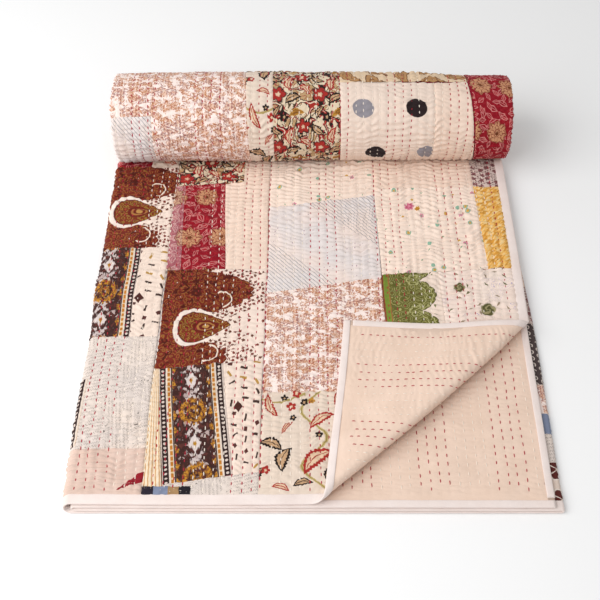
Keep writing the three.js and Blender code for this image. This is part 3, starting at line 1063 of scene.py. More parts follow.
def print_scribble(p):
    u, v = p.handmade(0.5, 8.0)
    block = p.noise(u, v, 40.0, 0.0, 9.0)
    inks = []
    for along, across, share in (
        (v, u + v * 0.1, block.below(0.46, 0.01)),
        (u, v - u * 0.2, block.over(0.52)),
    ):
        wave = (along * 2.3 + p.noise(u, v, 4.0, 1.0, 3.0) * 12.0).sin() * 0.9
        strokes = p.noise((across / 4.6).floor() * 5.3, along, 9.0, 0.0, 2.0).over(0.4)
        inks.append((across.fold(4.6) - wave).within(0.4, 0.4) & strokes & share)
    loops = ((p.noise(u, v, 8.0, 1.0, 6.0) * 9.0).fract() - 0.5).within(0.04, 0.03)
    between = (block - 0.485).within(0.03, 0.01)
    ground = p.mix(p.noise(u, v, 60.0, 2.0).below(0.5, 0.3), "e9d9cd", "ddd0c8")
    return p.mix(((inks[0] | inks[1]) * 0.62) | (loops & between), ground, "6b635c")


def print_gold_stripe(p):
    u, _ = p.handmade(1.2, 14.0)
    return p.mix(u.fold(4.8).within(0.75, 0.6) * 0.85, "efdcc2", "c98f4a")


def sprig_print(p, ground, flower, leaf, grain, share, size):
    u, v = p.handmade(0.8, 7.0)
    lu, lv, (r1, r2, r3) = p.repeat(u, v, grain, grain * 1.1, 2.0)
    flower_u = lu + (r1 - 0.5) * (grain * 0.4)
    flower_v = lv + (r3 - 0.5) * (grain * 0.4)
    bloom = p.petals(flower_u, flower_v, 5.0, size, 0.28, r1 * FULL_TURN)
    shown = r2.over(1 - share)
    leaf_u, leaf_v, (q1, q2, _) = p.repeat(u + 5.0, v + 3.0, grain * 0.42, grain * 0.46, 5.0)
    leaf_u, leaf_v = p.turned(leaf_u, leaf_v, q1 * FULL_TURN)
    blade = p.leaf(leaf_u, leaf_v, size * 0.6, size * 0.24)
    return p.coats(
        ground,
        (bloom.below(1.0, 0.15) & shown, flower),
        (bloom.below(0.35, 0.1) & shown, leaf),
        (blade.below(1.0, 0.2) & q2.over(1 - share * 0.8), leaf),
    )


# Larger flowers of the pale print: place, size, petals and ring
PALE_FLOWERS = (
    (49.0, 127.0, 7.5, "d77f96", "b84a63"),
    (60.0, 121.0, 4.2, "cf9436", "a06a20"),
)


def print_pale_floral(p):
    near, pick = p.specks(p.u, p.v, 15.0, 8.0)
    result = p.coats(
        sprig_print(p, "f8e2d2", "d98ca0", "8fa886", 27.0, 0.16, 3.4),
        (near.below(0.15, 0.05) & pick.over(0.55), "d0a24e"),
        ((near - 0.2).within(0.05, 0.03) & pick.over(0.7), "8fb8a0"),
    )
    for flower_u, flower_v, size, tone, ring in PALE_FLOWERS:
        bloom = p.petals(p.u - flower_u, p.v - flower_v, 7.0, size, 0.3)
        result = p.coats(result, (bloom.below(1.0, 0.2), tone), ((bloom - 0.5).within(0.12, 0.08), ring))
    return result


def print_green_floral(p):
    u, v = p.handmade(0.7, 6.0)
    lobes = abs(((v - 96.0) * (math.pi / 52.0)).cos()) ** 0.65 * 22.0
    field = 48.0 + lobes + abs((v / 3.2).sin()) * 2.0 - u
    near, _ = p.specks(u, v, 9.0, 3.0)
    rings = (near * 24.0).sin()
    petals = p.petals(u - 42.0, (v - 96.0).fold(52.0), 6.0, 9.0, 0.35)
    green = p.coats(
        "68662f",
        (rings.over(0.3), "80783a"),
        (rings.over(0.85), "aaa66e"),
        (near.below(0.12, 0.05), "6f4a2c"),
        ((field - 5.0).within(0.55, 0.4) & u.over(26.0), "b9b67e"),
        ((field - 13.0).within(0.55, 0.4) & u.over(26.0), "b9b67e"),
        ((petals - 1.0).within(0.09, 0.06), "b9b67e"),
    )
    lu, lv, (r1, r2, _) = p.repeat(u, v, 15.0, 14.0, 3.0)
    lu, lv = p.turned(lu, lv, r1 * FULL_TURN)
    blade = p.leaf(lu, lv, 3.4, 1.5).below(1.0, 0.2) & r2.over(0.5) & (0.0 - field).over(3.0)
    return p.coats(
        "efdacb",
        (field.over(0.0), "4c4c22"),
        (field.over(1.2), green),
        (u.below(9.0, 0.3), "a06a3c"),
        (u.below(7.4, 0.3), "7b8f36"),
        (u.below(1.2, 0.3), "8c3a2c"),
        (blade, "7a7a50"),
    )


# Roses of the olive print: place and size
OLIVE_ROSES = ((25.0, 132.0, 8.5), (60.0, 91.0, 10.5), (104.0, 30.0, 9.0), (20.0, 40.0, 9.0))


def print_olive_sprig(p):
    u, v = p.handmade(1.0, 5.0)
    sketch = (p.noise(u, v, 17.0, 1.0, 3.0) * 16.0).fract() - 0.5
    shown = p.noise(u, v, 30.0, 0.0, 8.0).over(0.56)
    lu, lv, (r1, r2, _) = p.repeat(u + 9.0, v + 5.0, 13.0, 14.0, 5.0)
    lu, lv = p.turned(lu, lv, r1 * FULL_TURN)
    blade = p.leaf(lu, lv, 4.4, 1.5).below(1.0, 0.2) & r2.over(0.66)
    result = p.coats(
        "f8e5d8",
        (p.noise(u, v, 50.0, 1.0).below(0.5, 0.3), "f2dccf"),
        (sketch.within(0.035, 0.02) & shown, "a89bc4"),
        (blade, p.mix(r1.over(0.4), "6d6b45", "a08c74")),
    )
    for rose_u, rose_v, size in OLIVE_ROSES:
        du, dv = u - rose_u, v - rose_v
        rose = p.petals(du, dv, 5.0, size, 0.16)
        rings = (rose * 9.0 + p.angle(du, dv) * 2.0).sin().over(0.1)
        result = p.mix(rose.below(1.0, 0.15), result, p.mix(rings, "5e5a35", "9a9068"))
    return result


def print_mustard(p):
    u, v = p.handmade(1.5, 5.0)
    along, across = p.turned(u, v, 0.7)
    strokes = p.noise(along * 0.3, across, 3.4, 3.0, 2.0)
    near, pick = p.specks(u, v, 6.0, 6.0)
    return p.coats(
        "f0bc68",
        (strokes.below(0.46, 0.06), "d6983f"),
        ((1.0 - strokes).below(0.44, 0.05), "f0d096"),
        (near.below(0.2, 0.08) & pick.over(0.6), "a86a2c"),
    )


def print_grey_floral(p):
    return sprig_print(p, "d3bfb6", "8d5a5c", "6f4c48", 10.0, 0.85, 3.8)


# Flowers of the red print, and the spacing and seed of its leaves
RED_FLOWERS = ((10.0, 60.0), (33.0, 134.0))
RED_REPEAT = (46.0, 152.0)
RED_LEAVES = ((17.0, 6.0), (13.0, 2.0))


def floral_colour(p, ground, shade, petal, vein, leaf):
    u, v = p.handmade(1.2, 6.0)
    flow = (p.noise(u, v, 11.0, 2.0, 3.0) * 30.0).sin()
    result = p.mix(flow.over(0.72), ground, shade)
    for grain, seed in RED_LEAVES:
        lu, lv, (r1, r2, r3) = p.repeat(u, v, grain, grain * 1.12, seed)
        lu, lv = p.turned(lu, lv, r1 * FULL_TURN)
        shape = p.leaf(lu, lv, grain * 0.56, grain * 0.3)
        shown = r2.over(0.2)
        result = p.coats(
            result,
            (shape.below(1.0, 0.1) & shown, leaf),
            (shape.below(0.72, 0.1) & shown, p.mix(r3.over(0.5), ground, shade)),
            (abs(lv).below(0.4, 0.3) & shape.below(0.8, 0.1) & shown, leaf),
        )
    for flower_u, flower_v in RED_FLOWERS:
        lu, lv = (u - flower_u).fold(RED_REPEAT[0]), (v - flower_v).fold(RED_REPEAT[1])
        bloom = p.petals(lu, lv, 8.0, 18.0, 0.2) + (p.noise(u, v, 7.0, 1.0, 8.0) - 0.5) * 0.5
        layer = (bloom * 3.4).floor()
        spokes = (p.angle(lu, lv) * 8.0 + layer * 3.14).cos().over(0.9)
        ring = (bloom * 3.4).fract().below(0.14, 0.06)
        result = p.coats(
            result,
            (bloom.below(1.05, 0.05), vein),
            (bloom.below(0.97, 0.05), petal),
            ((spokes | ring) & bloom.below(0.95, 0.05), vein),
            (bloom.below(0.2, 0.06), "6f3a20"),
        )
    return result


def print_red_floral(p):
    return floral_colour(p, "8e0d1f", "a01f2a", "c8916c", "7c2a22", "d08480")


def print_faded_floral(p):
    return floral_colour(p, "a85f68", "b87a7a", "c79e82", "8a4a46", "d6aaa6")


DOT_COLUMNS = 77.0
DOT_ROWS = 70.0


def print_dots(p):
    from_row = p.v - 68.0
    row = (from_row / DOT_ROWS + 0.5).floor()
    across = (p.u - 52.0 + row * 19.0) / DOT_COLUMNS
    column = (across + 0.5).floor()
    lu, lv = p.turned((across - column) * DOT_COLUMNS, from_row - row * DOT_ROWS, -0.25)
    wobble = (p.noise(p.u, p.v, 5.0, 2.0, 2.0) - 0.5) * 0.12
    dot = (p.radius(lu / 15.5, lv / 13.0) + wobble).below(1.0, 0.05)
    dark = ((column + row) * 0.5).fract().below(0.25, 0.01)
    return p.mix(dot, "efdacb", p.mix(dark, "948f96", "2b1f20"))


def print_blocks(p):
    u = p.u + (p.noise(p.u, p.v, 4.0, 1.0) - 0.5) * 1.5
    step = u.fold(60.0) + 30.0
    return p.coats(
        "2a2430", (step.over(14.0), "7f88a0"), (step.over(31.0), "a9855c"), (step.over(44.0), "1f1c22")
    )


def print_brown_curls(p):
    u, v = p.handmade(0.7, 4.0)
    lu, lv, (r1, _, _) = p.repeat(u, v, 10.0, 10.0, 2.0)
    ring = (p.radius(lu, lv) - 2.8).within(0.7, 0.3)
    opened = (p.angle(lu, lv) + r1 * 3.0).cos().below(0.75, 0.05)
    return p.mix(ring & opened, "4a3d3c", "d6c8be")


def print_brown_flower(p):
    u, v = p.handmade(0.7, 4.0)
    lu, lv = (u - 8.0).fold(34.0), (v - 22.0).fold(40.0)
    bloom = p.petals(lu, lv, 6.0, 15.0, 0.3)
    inner = bloom.below(0.94, 0.05)
    spokes = (p.angle(lu, lv) * 6.0).cos().below(-0.9, 0.05)
    return p.coats(
        "e4d0c2",
        (bloom.below(1.06, 0.05), "f0e2d6"),
        (inner, "5a2620"),
        ((spokes | bloom.below(0.2, 0.05)) & inner, "ecdccf"),
    )


def print_tan_leaf(p):
    u, v = p.handmade(1.4, 9.0)
    lu, lv, (r1, _, _) = p.repeat(u + 6.0, v, 40.0, 34.0, 2.0)
    lu, lv = p.turned(lu, lv, r1 * 3.0)
    lv = lv + (lu / 19.0) * (lu / 19.0) * 8.0 - 3.0
    shape = p.radius(lu / 21.0, lv / (9.0 + lu * 0.15))
    return p.coats(
        "e6cbab",
        (shape.below(1.08, 0.06), "7a5234"),
        (shape.below(0.94, 0.06), "b98c5e"),
        ((shape - 0.5).within(0.06, 0.04), "8a5c38"),
    )


# Colours of the mixed print: the random number above which each shows
MIXED_TONES = ((0.3, "b9704c"), (0.5, "dccfcb"), (0.62, "93142a"), (0.72, "e6d3c2"), (0.86, "7c3620"))


def print_mixed(p):
    column = (p.u / 118.0).floor()
    row = (p.v / 131.0 + column * 0.37).floor()
    r1, r2, _ = p.random(column, row, 3.0)
    result = p.coats("efdacb", *((r1.over(limit), tone) for limit, tone in MIXED_TONES))
    near, _ = p.specks(p.u, p.v, 5.0, 6.0)
    return p.mix(near.below(0.3, 0.1) & r2.over(0.5), result, "b08060")


PRINTS = {
    "cream": plain("f4dccb", "eed4c2"),
    "beige": plain("e1c6b8", "dabeaf"),
    "backing": plain("f1d6c3", "ecd0bc"),
    "binding": plain("f4e6e0", "efdfd8"),
    "plain_red": plain("a3202c", "8e1826"),
    "rust_sprig": print_rust_sprig,
    "hatch": print_hatch,
    "vine": print_vine,
    "dense": print_dense,
    "paisley": print_paisley,
    "ikat": print_ikat,
    "confetti": print_confetti,
    "scribble": print_scribble,
    "gold_stripe": print_gold_stripe,
    "pale_floral": print_pale_floral,
    "green_floral": print_green_floral,
    "olive_sprig": print_olive_sprig,
    "mustard": print_mustard,
    "grey_floral": print_grey_floral,
    "red_floral": print_red_floral,
    "faded_floral": print_faded_floral,
    "dots": print_dots,
    "blocks": print_blocks,
    "brown_curls": print_brown_curls,
    "brown_flower": print_brown_flower,
    "tan_leaf": print_tan_leaf,
    "mixed": print_mixed,
}
THREADS = {"thread_red": "b02a3c", "thread_cream": "f3e6d8"}
COTTON = {"Roughness": 0.88, "Specular IOR Level": 0.2, "Sheen Weight": 0.1, "Sheen Roughness": 0.45}
WEAVE = 0.55
BUMP_HEIGHT = 0.6 * MM


def fabric_material(name):
    """Printed cotton: the print, a plain weave, thin places and a soft bloom."""
    if name in bpy.data.materials:
        return bpy.data.materials[name]
    p = Paint(name)
    inputs = p.shader.inputs
    for key, amount in COTTON.items():
        inputs[key].default_value = amount
    if name in THREADS:
        inputs["Base Color"].default_value = linear(THREADS[name])
        return p.material
    warp = (p.u * (2 * math.pi / WEAVE)).sin()
    weft = (p.v * (2 * math.pi / WEAVE)).sin()
    weave = warp * weft
    slub = p.noise(p.u * 0.25, p.v * 2.2, 1.6, 2.0, 4.0) + p.noise(p.u * 2.2, p.v * 0.25, 1.6, 2.0, 7.0)
    wear = p.noise(p.u, p.v, 30.0, 4.0, 9.0)
    tone = wear * 0.16 + slub * 0.07 + weave * 0.012 + 0.85
    level = p.node("ShaderNodeCombineColor", enumerate((tone, tone, tone)))
    p.feed(inputs["Base Color"], p.mix(1.0, PRINTS[name](p), level.outputs[0], "MULTIPLY"))
    crease = p.noise(p.u * 0.4, p.v, 4.2, 3.0, 12.0)
    height = weave * 0.12 + slub * 0.2 + crease
    bump = p.node("ShaderNodeBump", {"Strength": 0.5, "Distance": BUMP_HEIGHT, "Height": height})
    p.feed(inputs["Normal"], bump.outputs[0])
    return p.material


def floor_material():
    paint = Paint("floor")
    paint.shader.inputs["Base Color"].default_value = (0.97, 0.97, 0.97, 1)
    paint.shader.inputs["Roughness"].default_value = 1.0
    return paint.material


# Patches of the top layer: name, print, then x and y of the corners near-left, near-right,
# far-right and far-left, in millimetres across the stack and back from the front edge
PATCH_ROWS = (
    ("a_sliver", "red_floral", -300, 548, -238, 548, -237, 584, -300, 584),
    ("a_strip", "vine", -238, 548, -198, 548, -198, 584, -237, 584),
    ("a_paisley", "paisley", -300, 386, -199, 389, -198, 548, -300, 548),
    ("a_ikat", "ikat", -300, 236, -238, 237, -237, 388, -300, 386),
    ("a_confetti", "confetti", -238, 237, -201, 238, -199, 389, -237, 388),
    ("a_scribble", "scribble", -300, 70, -200, 72, -201, 238, -300, 236),
    ("a_plain", "beige", -300, -2, -200, -2, -200, 72, -300, 70),
    ("a_gold", "gold_stripe", -200, -2, -176, -2, -194, 187, -201, 187),
    ("b_ikat", "ikat", -176, 22, -94, 38, -113, 194, -194, 186),
    ("b_under", "scribble", -176, -2, -64, -2, -63, 42, -176, 24),
    ("b_confetti", "confetti", -94, 37, -63, 40, -62, 199, -113, 193),
    ("b_paisley", "paisley", -201, 185, -62, 199, -60, 352, -197, 348),
    ("b_faded", "faded_floral", -200, 348, -180, 349, -184, 509, -199, 508),
    ("b_floral", "red_floral", -180, 349, -118, 351, -125, 513, -184, 509),
    ("b_cream", "cream", -118, 351, -60, 352, -60, 522, -125, 513),
    ("b_strip", "dense", -196, 508, -98, 517, -98, 584, -198, 584),
    ("b_cream_back", "cream", -98, 517, -60, 522, -60, 584, -98, 584),
    ("c_pale", "pale_floral", -60, 464, 94, 490, 96, 584, -60, 584),
    ("c_hatch", "hatch", -60, 309, 96, 333, 94, 490, -60, 464),
    ("c_rust", "rust_sprig", -62, 149, 100, 156, 96, 333, -60, 309),
    ("c_vine", "vine", -64, -2, 110, -2, 100, 156, -62, 149),
    ("d_cream", "cream", 94, 502, 241, 508, 240, 584, 96, 584),
    ("d_pale", "pale_floral", 97, 338, 245, 350, 241, 508, 94, 502),
    ("d_green", "green_floral", 101, 190, 178, 190, 176, 344, 97, 338),
    ("d_olive", "olive_sprig", 178, 190, 292, 190, 292, 352, 176, 344),
    ("e_mustard", "mustard", 245, 350, 292, 352, 292, 508, 241, 508),
    ("e_grey", "grey_floral", 241, 508, 292, 508, 292, 584, 240, 584),
)

# Patches laid over others
ACCENT_ROWS = (
    ("a_red", "plain_red", -231, 15, -200, 27, -199, 41, -206, 38),
    ("b_blocks", "blocks", -200, 10, -141, 10, -142, 22, -200, 22),
    ("a_edge", "ikat", -300, 74, -285, 74, -283, 172, -300, 172),
)

# Patches round the roll: x across and the way up from where the roll meets the stack
ROLL_ROWS = (
    ("r_hatch", "hatch", -300, 12, -229, 12, -229, 138, -300, 137),
    ("r_rust", "rust_sprig", -229, 12, -87, 12, -97, 250, -229, 250),
    ("r_rust_side", "rust_sprig", -300, 137, -229, 138, -229, 250, -300, 250),
    ("r_vine", "vine", -87, 12, -53, 12, -56, 250, -97, 250),
    ("r_dense", "dense", -53, 12, 45, 12, 40, 250, -56, 250),
    ("r_dots", "dots", 45, 12, 180, 12, 178, 190, 41, 187),
    ("r_cream", "cream", 180, 12, 247, 12, 227, 195, 178, 190),
    ("r_leaf", "tan_leaf", 41, 187, 227, 195, 225, 262, 40, 250),
    ("r_floral", "red_floral", 247, 12, 310, 12, 310, 250, 225, 262),
    ("r_back_paisley", "paisley", -300, 250, -180, 250, -178, 366, -300, 366),
    ("r_back_cream", "cream", -180, 250, -56, 250, -50, 366, -178, 366),
    ("r_back_ikat", "ikat", -56, 250, 40, 250, 44, 366, -50, 366),
    ("r_back_pale", "pale_floral", 40, 250, 225, 262, 210, 366, 44, 366),
    ("r_back_mustard", "mustard", 225, 262, 310, 250, 310, 366, 210, 366),
)

# Patches on the folded edges that show beside the top layer: print, near and far ends
RIGHT_FOLD_ROWS = (
    ("brown_flower", -3, 62),
    ("scribble", 62, 101),
    ("blocks", 101, 130),
    ("rust_sprig", 130, 172),
    ("brown_curls", 172, 268),
    ("grey_floral", 268, 330),
    ("cream", 330, 440),
    ("rust_sprig", 440, 575),
)
LEFT_FOLD_ROWS = (
    ("cream", -3, 80),
    ("brown_curls", 80, 192),
    ("beige", 192, 300),
    ("paisley", 300, 430),
    ("cream", 430, 575),
)

# Where the patches of the folded edges start and end round the section
RIGHT_START, RIGHT_END = STARTS[3] - 22.0, STARTS[4] + 4
LEFT_START, LEFT_END = STARTS[5] - 6, TOP_START - 9.0

# A full turn of the roll, and the radius by which heights on it are measured
ROLL_TURN = 2 * math.pi
ROLL_REACH = 59.0
ROLL_START = 560.0
UNDER_BINDING = 10.5


def top_corner(x, y):
    """Place round the section and along it for a corner of a patch of the top layer."""
    s = min(max(float(x_to_s(TOP, x, y)), LEFT_END), AROUND - UNDER_BINDING)
    return (s, max(float(y), UNDER_BINDING))


def roll_corner(x, up):
    """The same for a patch of the roll, whose outside is the bottom layer."""
    t = roll_back(x) + 5.0 + length_at(ROLL_TURN - up / ROLL_REACH)
    s = float(x_to_s(BOTTOM, x, ROLL_START))
    return (min(max(s, STARTS[3] + 1.0), STARTS[5] + 9.0), float(t))


def before_fold(s, t):
    return out_of_fold(s, t) < FOLD_RADIUS


# Patches whose print starts elsewhere in its repeat, in millimetres
PRINT_SHIFTS = {
    "a_ikat": (27.4, 22.0),
    "a_paisley": (14.0, -6.0),
    "b_faded": (-16.0, 0.0),
    "a_confetti": (10.0, 30.0),
    "r_dense": (6.0, 10.0),
    "r_hatch": (0.0, 92.0),
    "d_green": (0.0, -19.0),
    "r_floral": (-6.0, 30.0),
}


# How high the patches lie, and how strongly they pucker
ACCENT_HEIGHT = PATCH_THICK + 0.3
EDGE_HEIGHT = PATCH_THICK * 0.4
EDGE_PUCKER = 0.25
PATCH_EDGE_DROP = 0.3


def lay_patch(name, fabric, corners, step, height=PATCH_THICK, keep=None, strength=1.0):
    near_left, near_right, far_right, far_left = corners
    low, high = (near_left, near_right), (far_left, far_right)
    points, faces, _, _, uv = panel(low, high, 1, height, step, keep, PATCH_EDGE_DROP, strength)
    if (near_right[0] - near_left[0]) * (far_left[1] - near_left[1]) < 0:
        faces = faces[:, ::-1]
    uv = uv + np.array(PRINT_SHIFTS.get(name, (0.0, 0.0)))
    obj = add_mesh("patch_" + name, points, faces, uv, [fabric_material(fabric)])
    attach(obj, "root")
    return obj


def build_patches(step):
    made = []
    for rows, corner, options in (
        (PATCH_ROWS, top_corner, {"keep": before_fold}),
        (ACCENT_ROWS, top_corner, {"height": ACCENT_HEIGHT}),
        (ROLL_ROWS, roll_corner, {}),
    ):
        for name, fabric, *v in rows:
            corners = [corner(v[i], v[i + 1]) for i in (0, 2, 4, 6)]
            made.append(lay_patch(name, fabric, corners, step, **options))
    for side, rows, s0, s1 in (
        ("right", RIGHT_FOLD_ROWS, RIGHT_START, RIGHT_END),
        ("left", LEFT_FOLD_ROWS, LEFT_START, LEFT_END),
    ):
        for i, (fabric, t0, t1) in enumerate(rows):
            t0 = max(t0, UNDER_BINDING)
            corners = [(s0, t0), (s1, t0), (s1, t1), (s0, t1)]
            name = f"{side}_{i}"
            made.append(lay_patch(name, fabric, corners, step, EDGE_HEIGHT, strength=EDGE_PUCKER))
    return made


# Width of the binding on the patchwork side and on the backing
BINDING_WIDTH = 12.0
BACK_WIDTH = 8.4


# The backing shows this far from the front edge, and this far under the turned corner
BACKING_DEPTH = 330.0
UNDER_CORNER = 45.0


def on_corner(s, t):
    return out_of_fold(s, t) > -FOLD_RADIUS


def below_corner(s, t):
    place = cloth_at(s, t)
    return fold_frame(place[..., 0], place[..., 1])[3] > -UNDER_CORNER


# How strongly the backing puckers, against 1 for the patches, and how far it lies off the sheet
BACK_PUCKER = 0.32
BACKING_THICK = 0.05


def build_backing(step):
    """Fine cloth where the backing shows: on the turned corner and on the layer under it."""
    material = fabric_material("backing")
    made = []
    top_low = float(x_to_s(TOP, -60, 100.0))
    margin = BACK_WIDTH - 1.0
    areas = (
        ("backing_corner", top_low, AROUND - margin, on_corner),
        ("backing_below", margin, BACKING_DEPTH, below_corner),
    )
    for name, s0, s1, keep in areas:
        low, high = ((s0, margin), (s1, margin)), ((s0, BACKING_DEPTH), (s1, BACKING_DEPTH))
        points, faces, s, t, _ = panel(low, high, -1, BACKING_THICK, step, keep, 0.0, BACK_PUCKER)
        obj = add_mesh(name, points, faces, np.stack([s, t], -1), [material])
        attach(obj, "root")
        made.append(obj)
    return made


# Running stitch: layer, side of the cloth, where the rows start and end, spacing against the
# pitch, and where the stitches show
PAST_BINDING = BINDING_WIDTH + 1
STITCHED_AREAS = (
    (TOP, 1, PAST_BINDING, 582.0, 1.0, lambda s, t: out_of_fold(s, t) < 0),
    (TOP, -1, PAST_BINDING, BACKING_DEPTH, 0.9, lambda s, t: out_of_fold(s, t) > -2),
    (SECOND, -1, PAST_BINDING, BACKING_DEPTH, 1.15, below_corner),
    (BOTTOM, 1, 604.0, length_at(ROLL_TURN) + 588, 0.9, lambda s, t: t > 0),
)
STITCH_STATIONS = 6
THREAD_SIDES = 5
THREAD_FLATNESS = 0.75
BACK_THREAD_WIDTH = 0.78


def stitch_starts(place, low, high, pitch, side):
    """Where the stitches of a row begin, unevenly as by hand."""
    jitter = np.random.default_rng(int(place * 10) + 5)
    t = low + jitter.random() * pitch + (pitch / 2 if side < 0 else 0)
    starts = []
    while t < high:
        starts.append(t + (jitter.random() - 0.5) * 0.16 * pitch)
        t += pitch * (0.92 + 0.16 * jitter.random())
    return np.array(starts)


def thread_tubes(s, t, side, width):
    """Points and faces of stitches along rows of places, their ends drawn into the cloth."""
    rise = np.sin(math.pi * np.linspace(0, 1, STITCH_STATIONS)) ** 0.5
    height = (PATCH_THICK if side > 0 else 0.2) + 0.25 + (rise - 0.9) * 1.1
    strength = 1.0 if side > 0 else BACK_PUCKER
    centre, n = surface(s, t, side, np.broadcast_to(height, s.shape), strength)
    along = np.gradient(centre, axis=1)
    along /= np.linalg.norm(along, axis=-1, keepdims=True)
    across = np.cross(along, n)
    angles = np.arange(THREAD_SIDES) / THREAD_SIDES * 2 * math.pi
    ring = (
        across[:, :, None, :] * np.cos(angles)[:, None]
        + n[:, :, None, :] * (THREAD_FLATNESS * np.sin(angles))[:, None]
    )
    radius = width / 2 * (0.55 + 0.45 * rise)
    points = centre[:, :, None, :] + ring * radius[:, None, None]
    base = np.arange(len(s))[:, None, None] * STITCH_STATIONS * THREAD_SIDES
    station = np.arange(STITCH_STATIONS - 1)[None, :, None] * THREAD_SIDES
    k = np.arange(THREAD_SIDES)[None, None, :]
    a = base + station + k
    b = base + station + (k + 1) % THREAD_SIDES
    faces = np.stack([a, a + THREAD_SIDES, b + THREAD_SIDES, b], -1)
    return points.reshape(-1, 3), faces.reshape(-1, 4)


def build_thread(colour, settings):
    """All stitches of one colour, as short lengths of thread."""
    stations = np.linspace(0, 1, STITCH_STATIONS)
    all_points = []
    all_faces = []
    count = 0
    for level, side, low, high, spacing, keep in STITCHED_AREAS:
        shown = settings.stitch_length if side > 0 else settings.back_stitch
        width = settings.thread_width / MM * (1.0 if side > 0 else BACK_THREAD_WIDTH)
        for place, row_colour in row_places(level):
            if row_colour != colour:
                continue
            starts = stitch_starts(place, low, high, settings.stitch_pitch / MM * spacing, side)
            lengths = shown * spacing / MM * (0.8 + 0.4 * noise(starts * 0.7, starts * 0 + place))
            t = starts[:, None] + stations * lengths[:, None]
            s = place + wander(place, t)
            good = keep(s[:, 2], t[:, 2])
            if not good.any():
                continue
            points, faces = thread_tubes(s[good], t[good], side, width)
            all_points.append(points)
            all_faces.append(faces + count)
            count += len(points)
    points = np.concatenate(all_points)
    faces = np.concatenate(all_faces)
    obj = add_mesh("thread_" + colour, points, faces, None, [fabric_material("thread_" + colour)])
    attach(obj, "root")
    return obj


# Binding in section: distance in from the edge, height above the middle of the cloth
BINDING_SECTION = (
    (12.0, 0.55),
    (11.8, 0.95),
    (10.5, 1.12),
    (7.0, 1.2),
    (3.0, 1.22),
    (0.6, 1.1),
    (-0.55, 0.72),
    (-0.9, 0.0),
    (-0.55, -0.72),
    (0.6, -1.1),
    (3.0, -1.22),
    (5.5, -1.2),
    (7.4, -1.12),
    (8.2, -0.95),
    (8.4, -0.55),
    (6.0, -0.54),
    (0.3, -0.5),
    (0.3, 0.5),
    (6.0, 0.54),
)


def binding_strip(run, edge_place, inward):
    """Faces and points of one strip: run are the places along it, inward is (ds, dt)."""
    profile = np.array(BINDING_SECTION)
    place = np.asarray(run, float)
    width_wave = 1 + 0.05 * (noise(place / 23 + edge_place, place * 0 + 2.5) - 0.5)
    depth = profile[None, :, 0] * width_wave[:, None]
    if inward[1]:
        s = np.broadcast_to(place[:, None], depth.shape)
        t = edge_place + inward[1] * depth
    else:
        s = edge_place + inward[0] * depth
        t = np.broadcast_to(place[:, None], depth.shape)
    ripple = 0.35 * noise(place / 4.1 + 9, place / 37)
    soft = 0.5 * noise(place / 17 + 4, place / 90)
    lift = (ripple + soft)[:, None] * np.clip(1 - np.abs(profile[:, 0] - 6) / 6.5, 0, 1)
    pressed = 1 - 0.5 * smooth(t, 550.0, 600.0)
    outer = np.abs(profile[:, 1]) > 0.6
    height = (profile[:, 1] + np.sign(profile[:, 1]) * lift * outer) * pressed
    points = cloth_at(s, t) + outward(s, t) * height[..., None]
    rows, columns = depth.shape
    i, j = np.meshgrid(np.arange(rows - 1), np.arange(columns), indexing="ij")
    a = (i * columns + j).ravel()
    b = (i * columns + (j + 1) % columns).ravel()
    faces = [list(f) for f in np.stack([a, b, b + columns, a + columns], -1)]
    faces.append(list(range(columns))[::-1])
    faces.append([(rows - 1) * columns + k for k in range(columns)])
    if (inward[0] > 0) or (inward[1] < 0):
        faces = [face[::-1] for face in faces]
    uv = np.stack([np.broadcast_to(place[:, None], depth.shape), depth], -1)
    return points.reshape(-1, 3), faces, uv.reshape(-1, 2)


def build_binding():
    """Four strips over the cloth's four edges, meeting at its corners."""
    side_run = spread(BINDING_WIDTH - 0.5, 600, 3) + spread(600, LENGTH, 6)[1:]
    front_run = []
    for i, row in enumerate(SECTION):
        front_run += spread(STARTS[i], STARTS[i + 1], 3.0 if row[0] == "layer" else 1.0)[:-1]
    front_run.append(AROUND)
    strips = (
        (front_run, 0.0, (0, 1)),
        (side_run, AROUND, (-1, 0)),
        (side_run, 0.0, (1, 0)),
        (spread(0, AROUND, 14), LENGTH, (0, -1)),
    )
    points, faces, uvs = [], [], []
    for strip in strips:
        start = sum(len(p) for p in points)
        strip_points, strip_faces, uv = binding_strip(*strip)
        points.append(strip_points)
        uvs.append(uv)
        faces += [[v + start for v in face] for face in strip_faces]
    points, uvs = np.concatenate(points), np.concatenate(uvs)
    obj = add_mesh("binding", points, faces, uvs, [fabric_material("binding")])
    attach(obj, "root")
    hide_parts("edge_binding")
    return obj


class QuiltSettings(bpy.types.PropertyGroup):
    """Sizes of the quilt that can be changed before it is built."""

    patch_grain: bpy.props.FloatProperty(
        name="Patch grain",
        description="Spacing of the points of a patch",
        default=1.6 * MM,
        subtype="DISTANCE",
    )
    backing_grain: bpy.props.FloatProperty(
        name="Backing grain",
        description="Spacing of the points of the backing",
        default=1.6 * MM,
        subtype="DISTANCE",
    )
    stitch_length: bpy.props.FloatProperty(
        name="Stitch length",
        description="Part of a stitch that shows",
        default=6.0 * MM,
        subtype="DISTANCE",
    )
    back_stitch: bpy.props.FloatProperty(
        name="Back stitch",
        description="Part of a stitch that shows on the backing",
        default=5.4 * MM,
        subtype="DISTANCE",
    )
    stitch_pitch: bpy.props.FloatProperty(
        name="Stitch pitch",
        description="From one stitch to the next",
        default=10.2 * MM,
        subtype="DISTANCE",
    )
    thread_width: bpy.props.FloatProperty(
        name="Thread width",
        description="Width of the quilting thread",
        default=1.5 * MM,
        subtype="DISTANCE",
    )


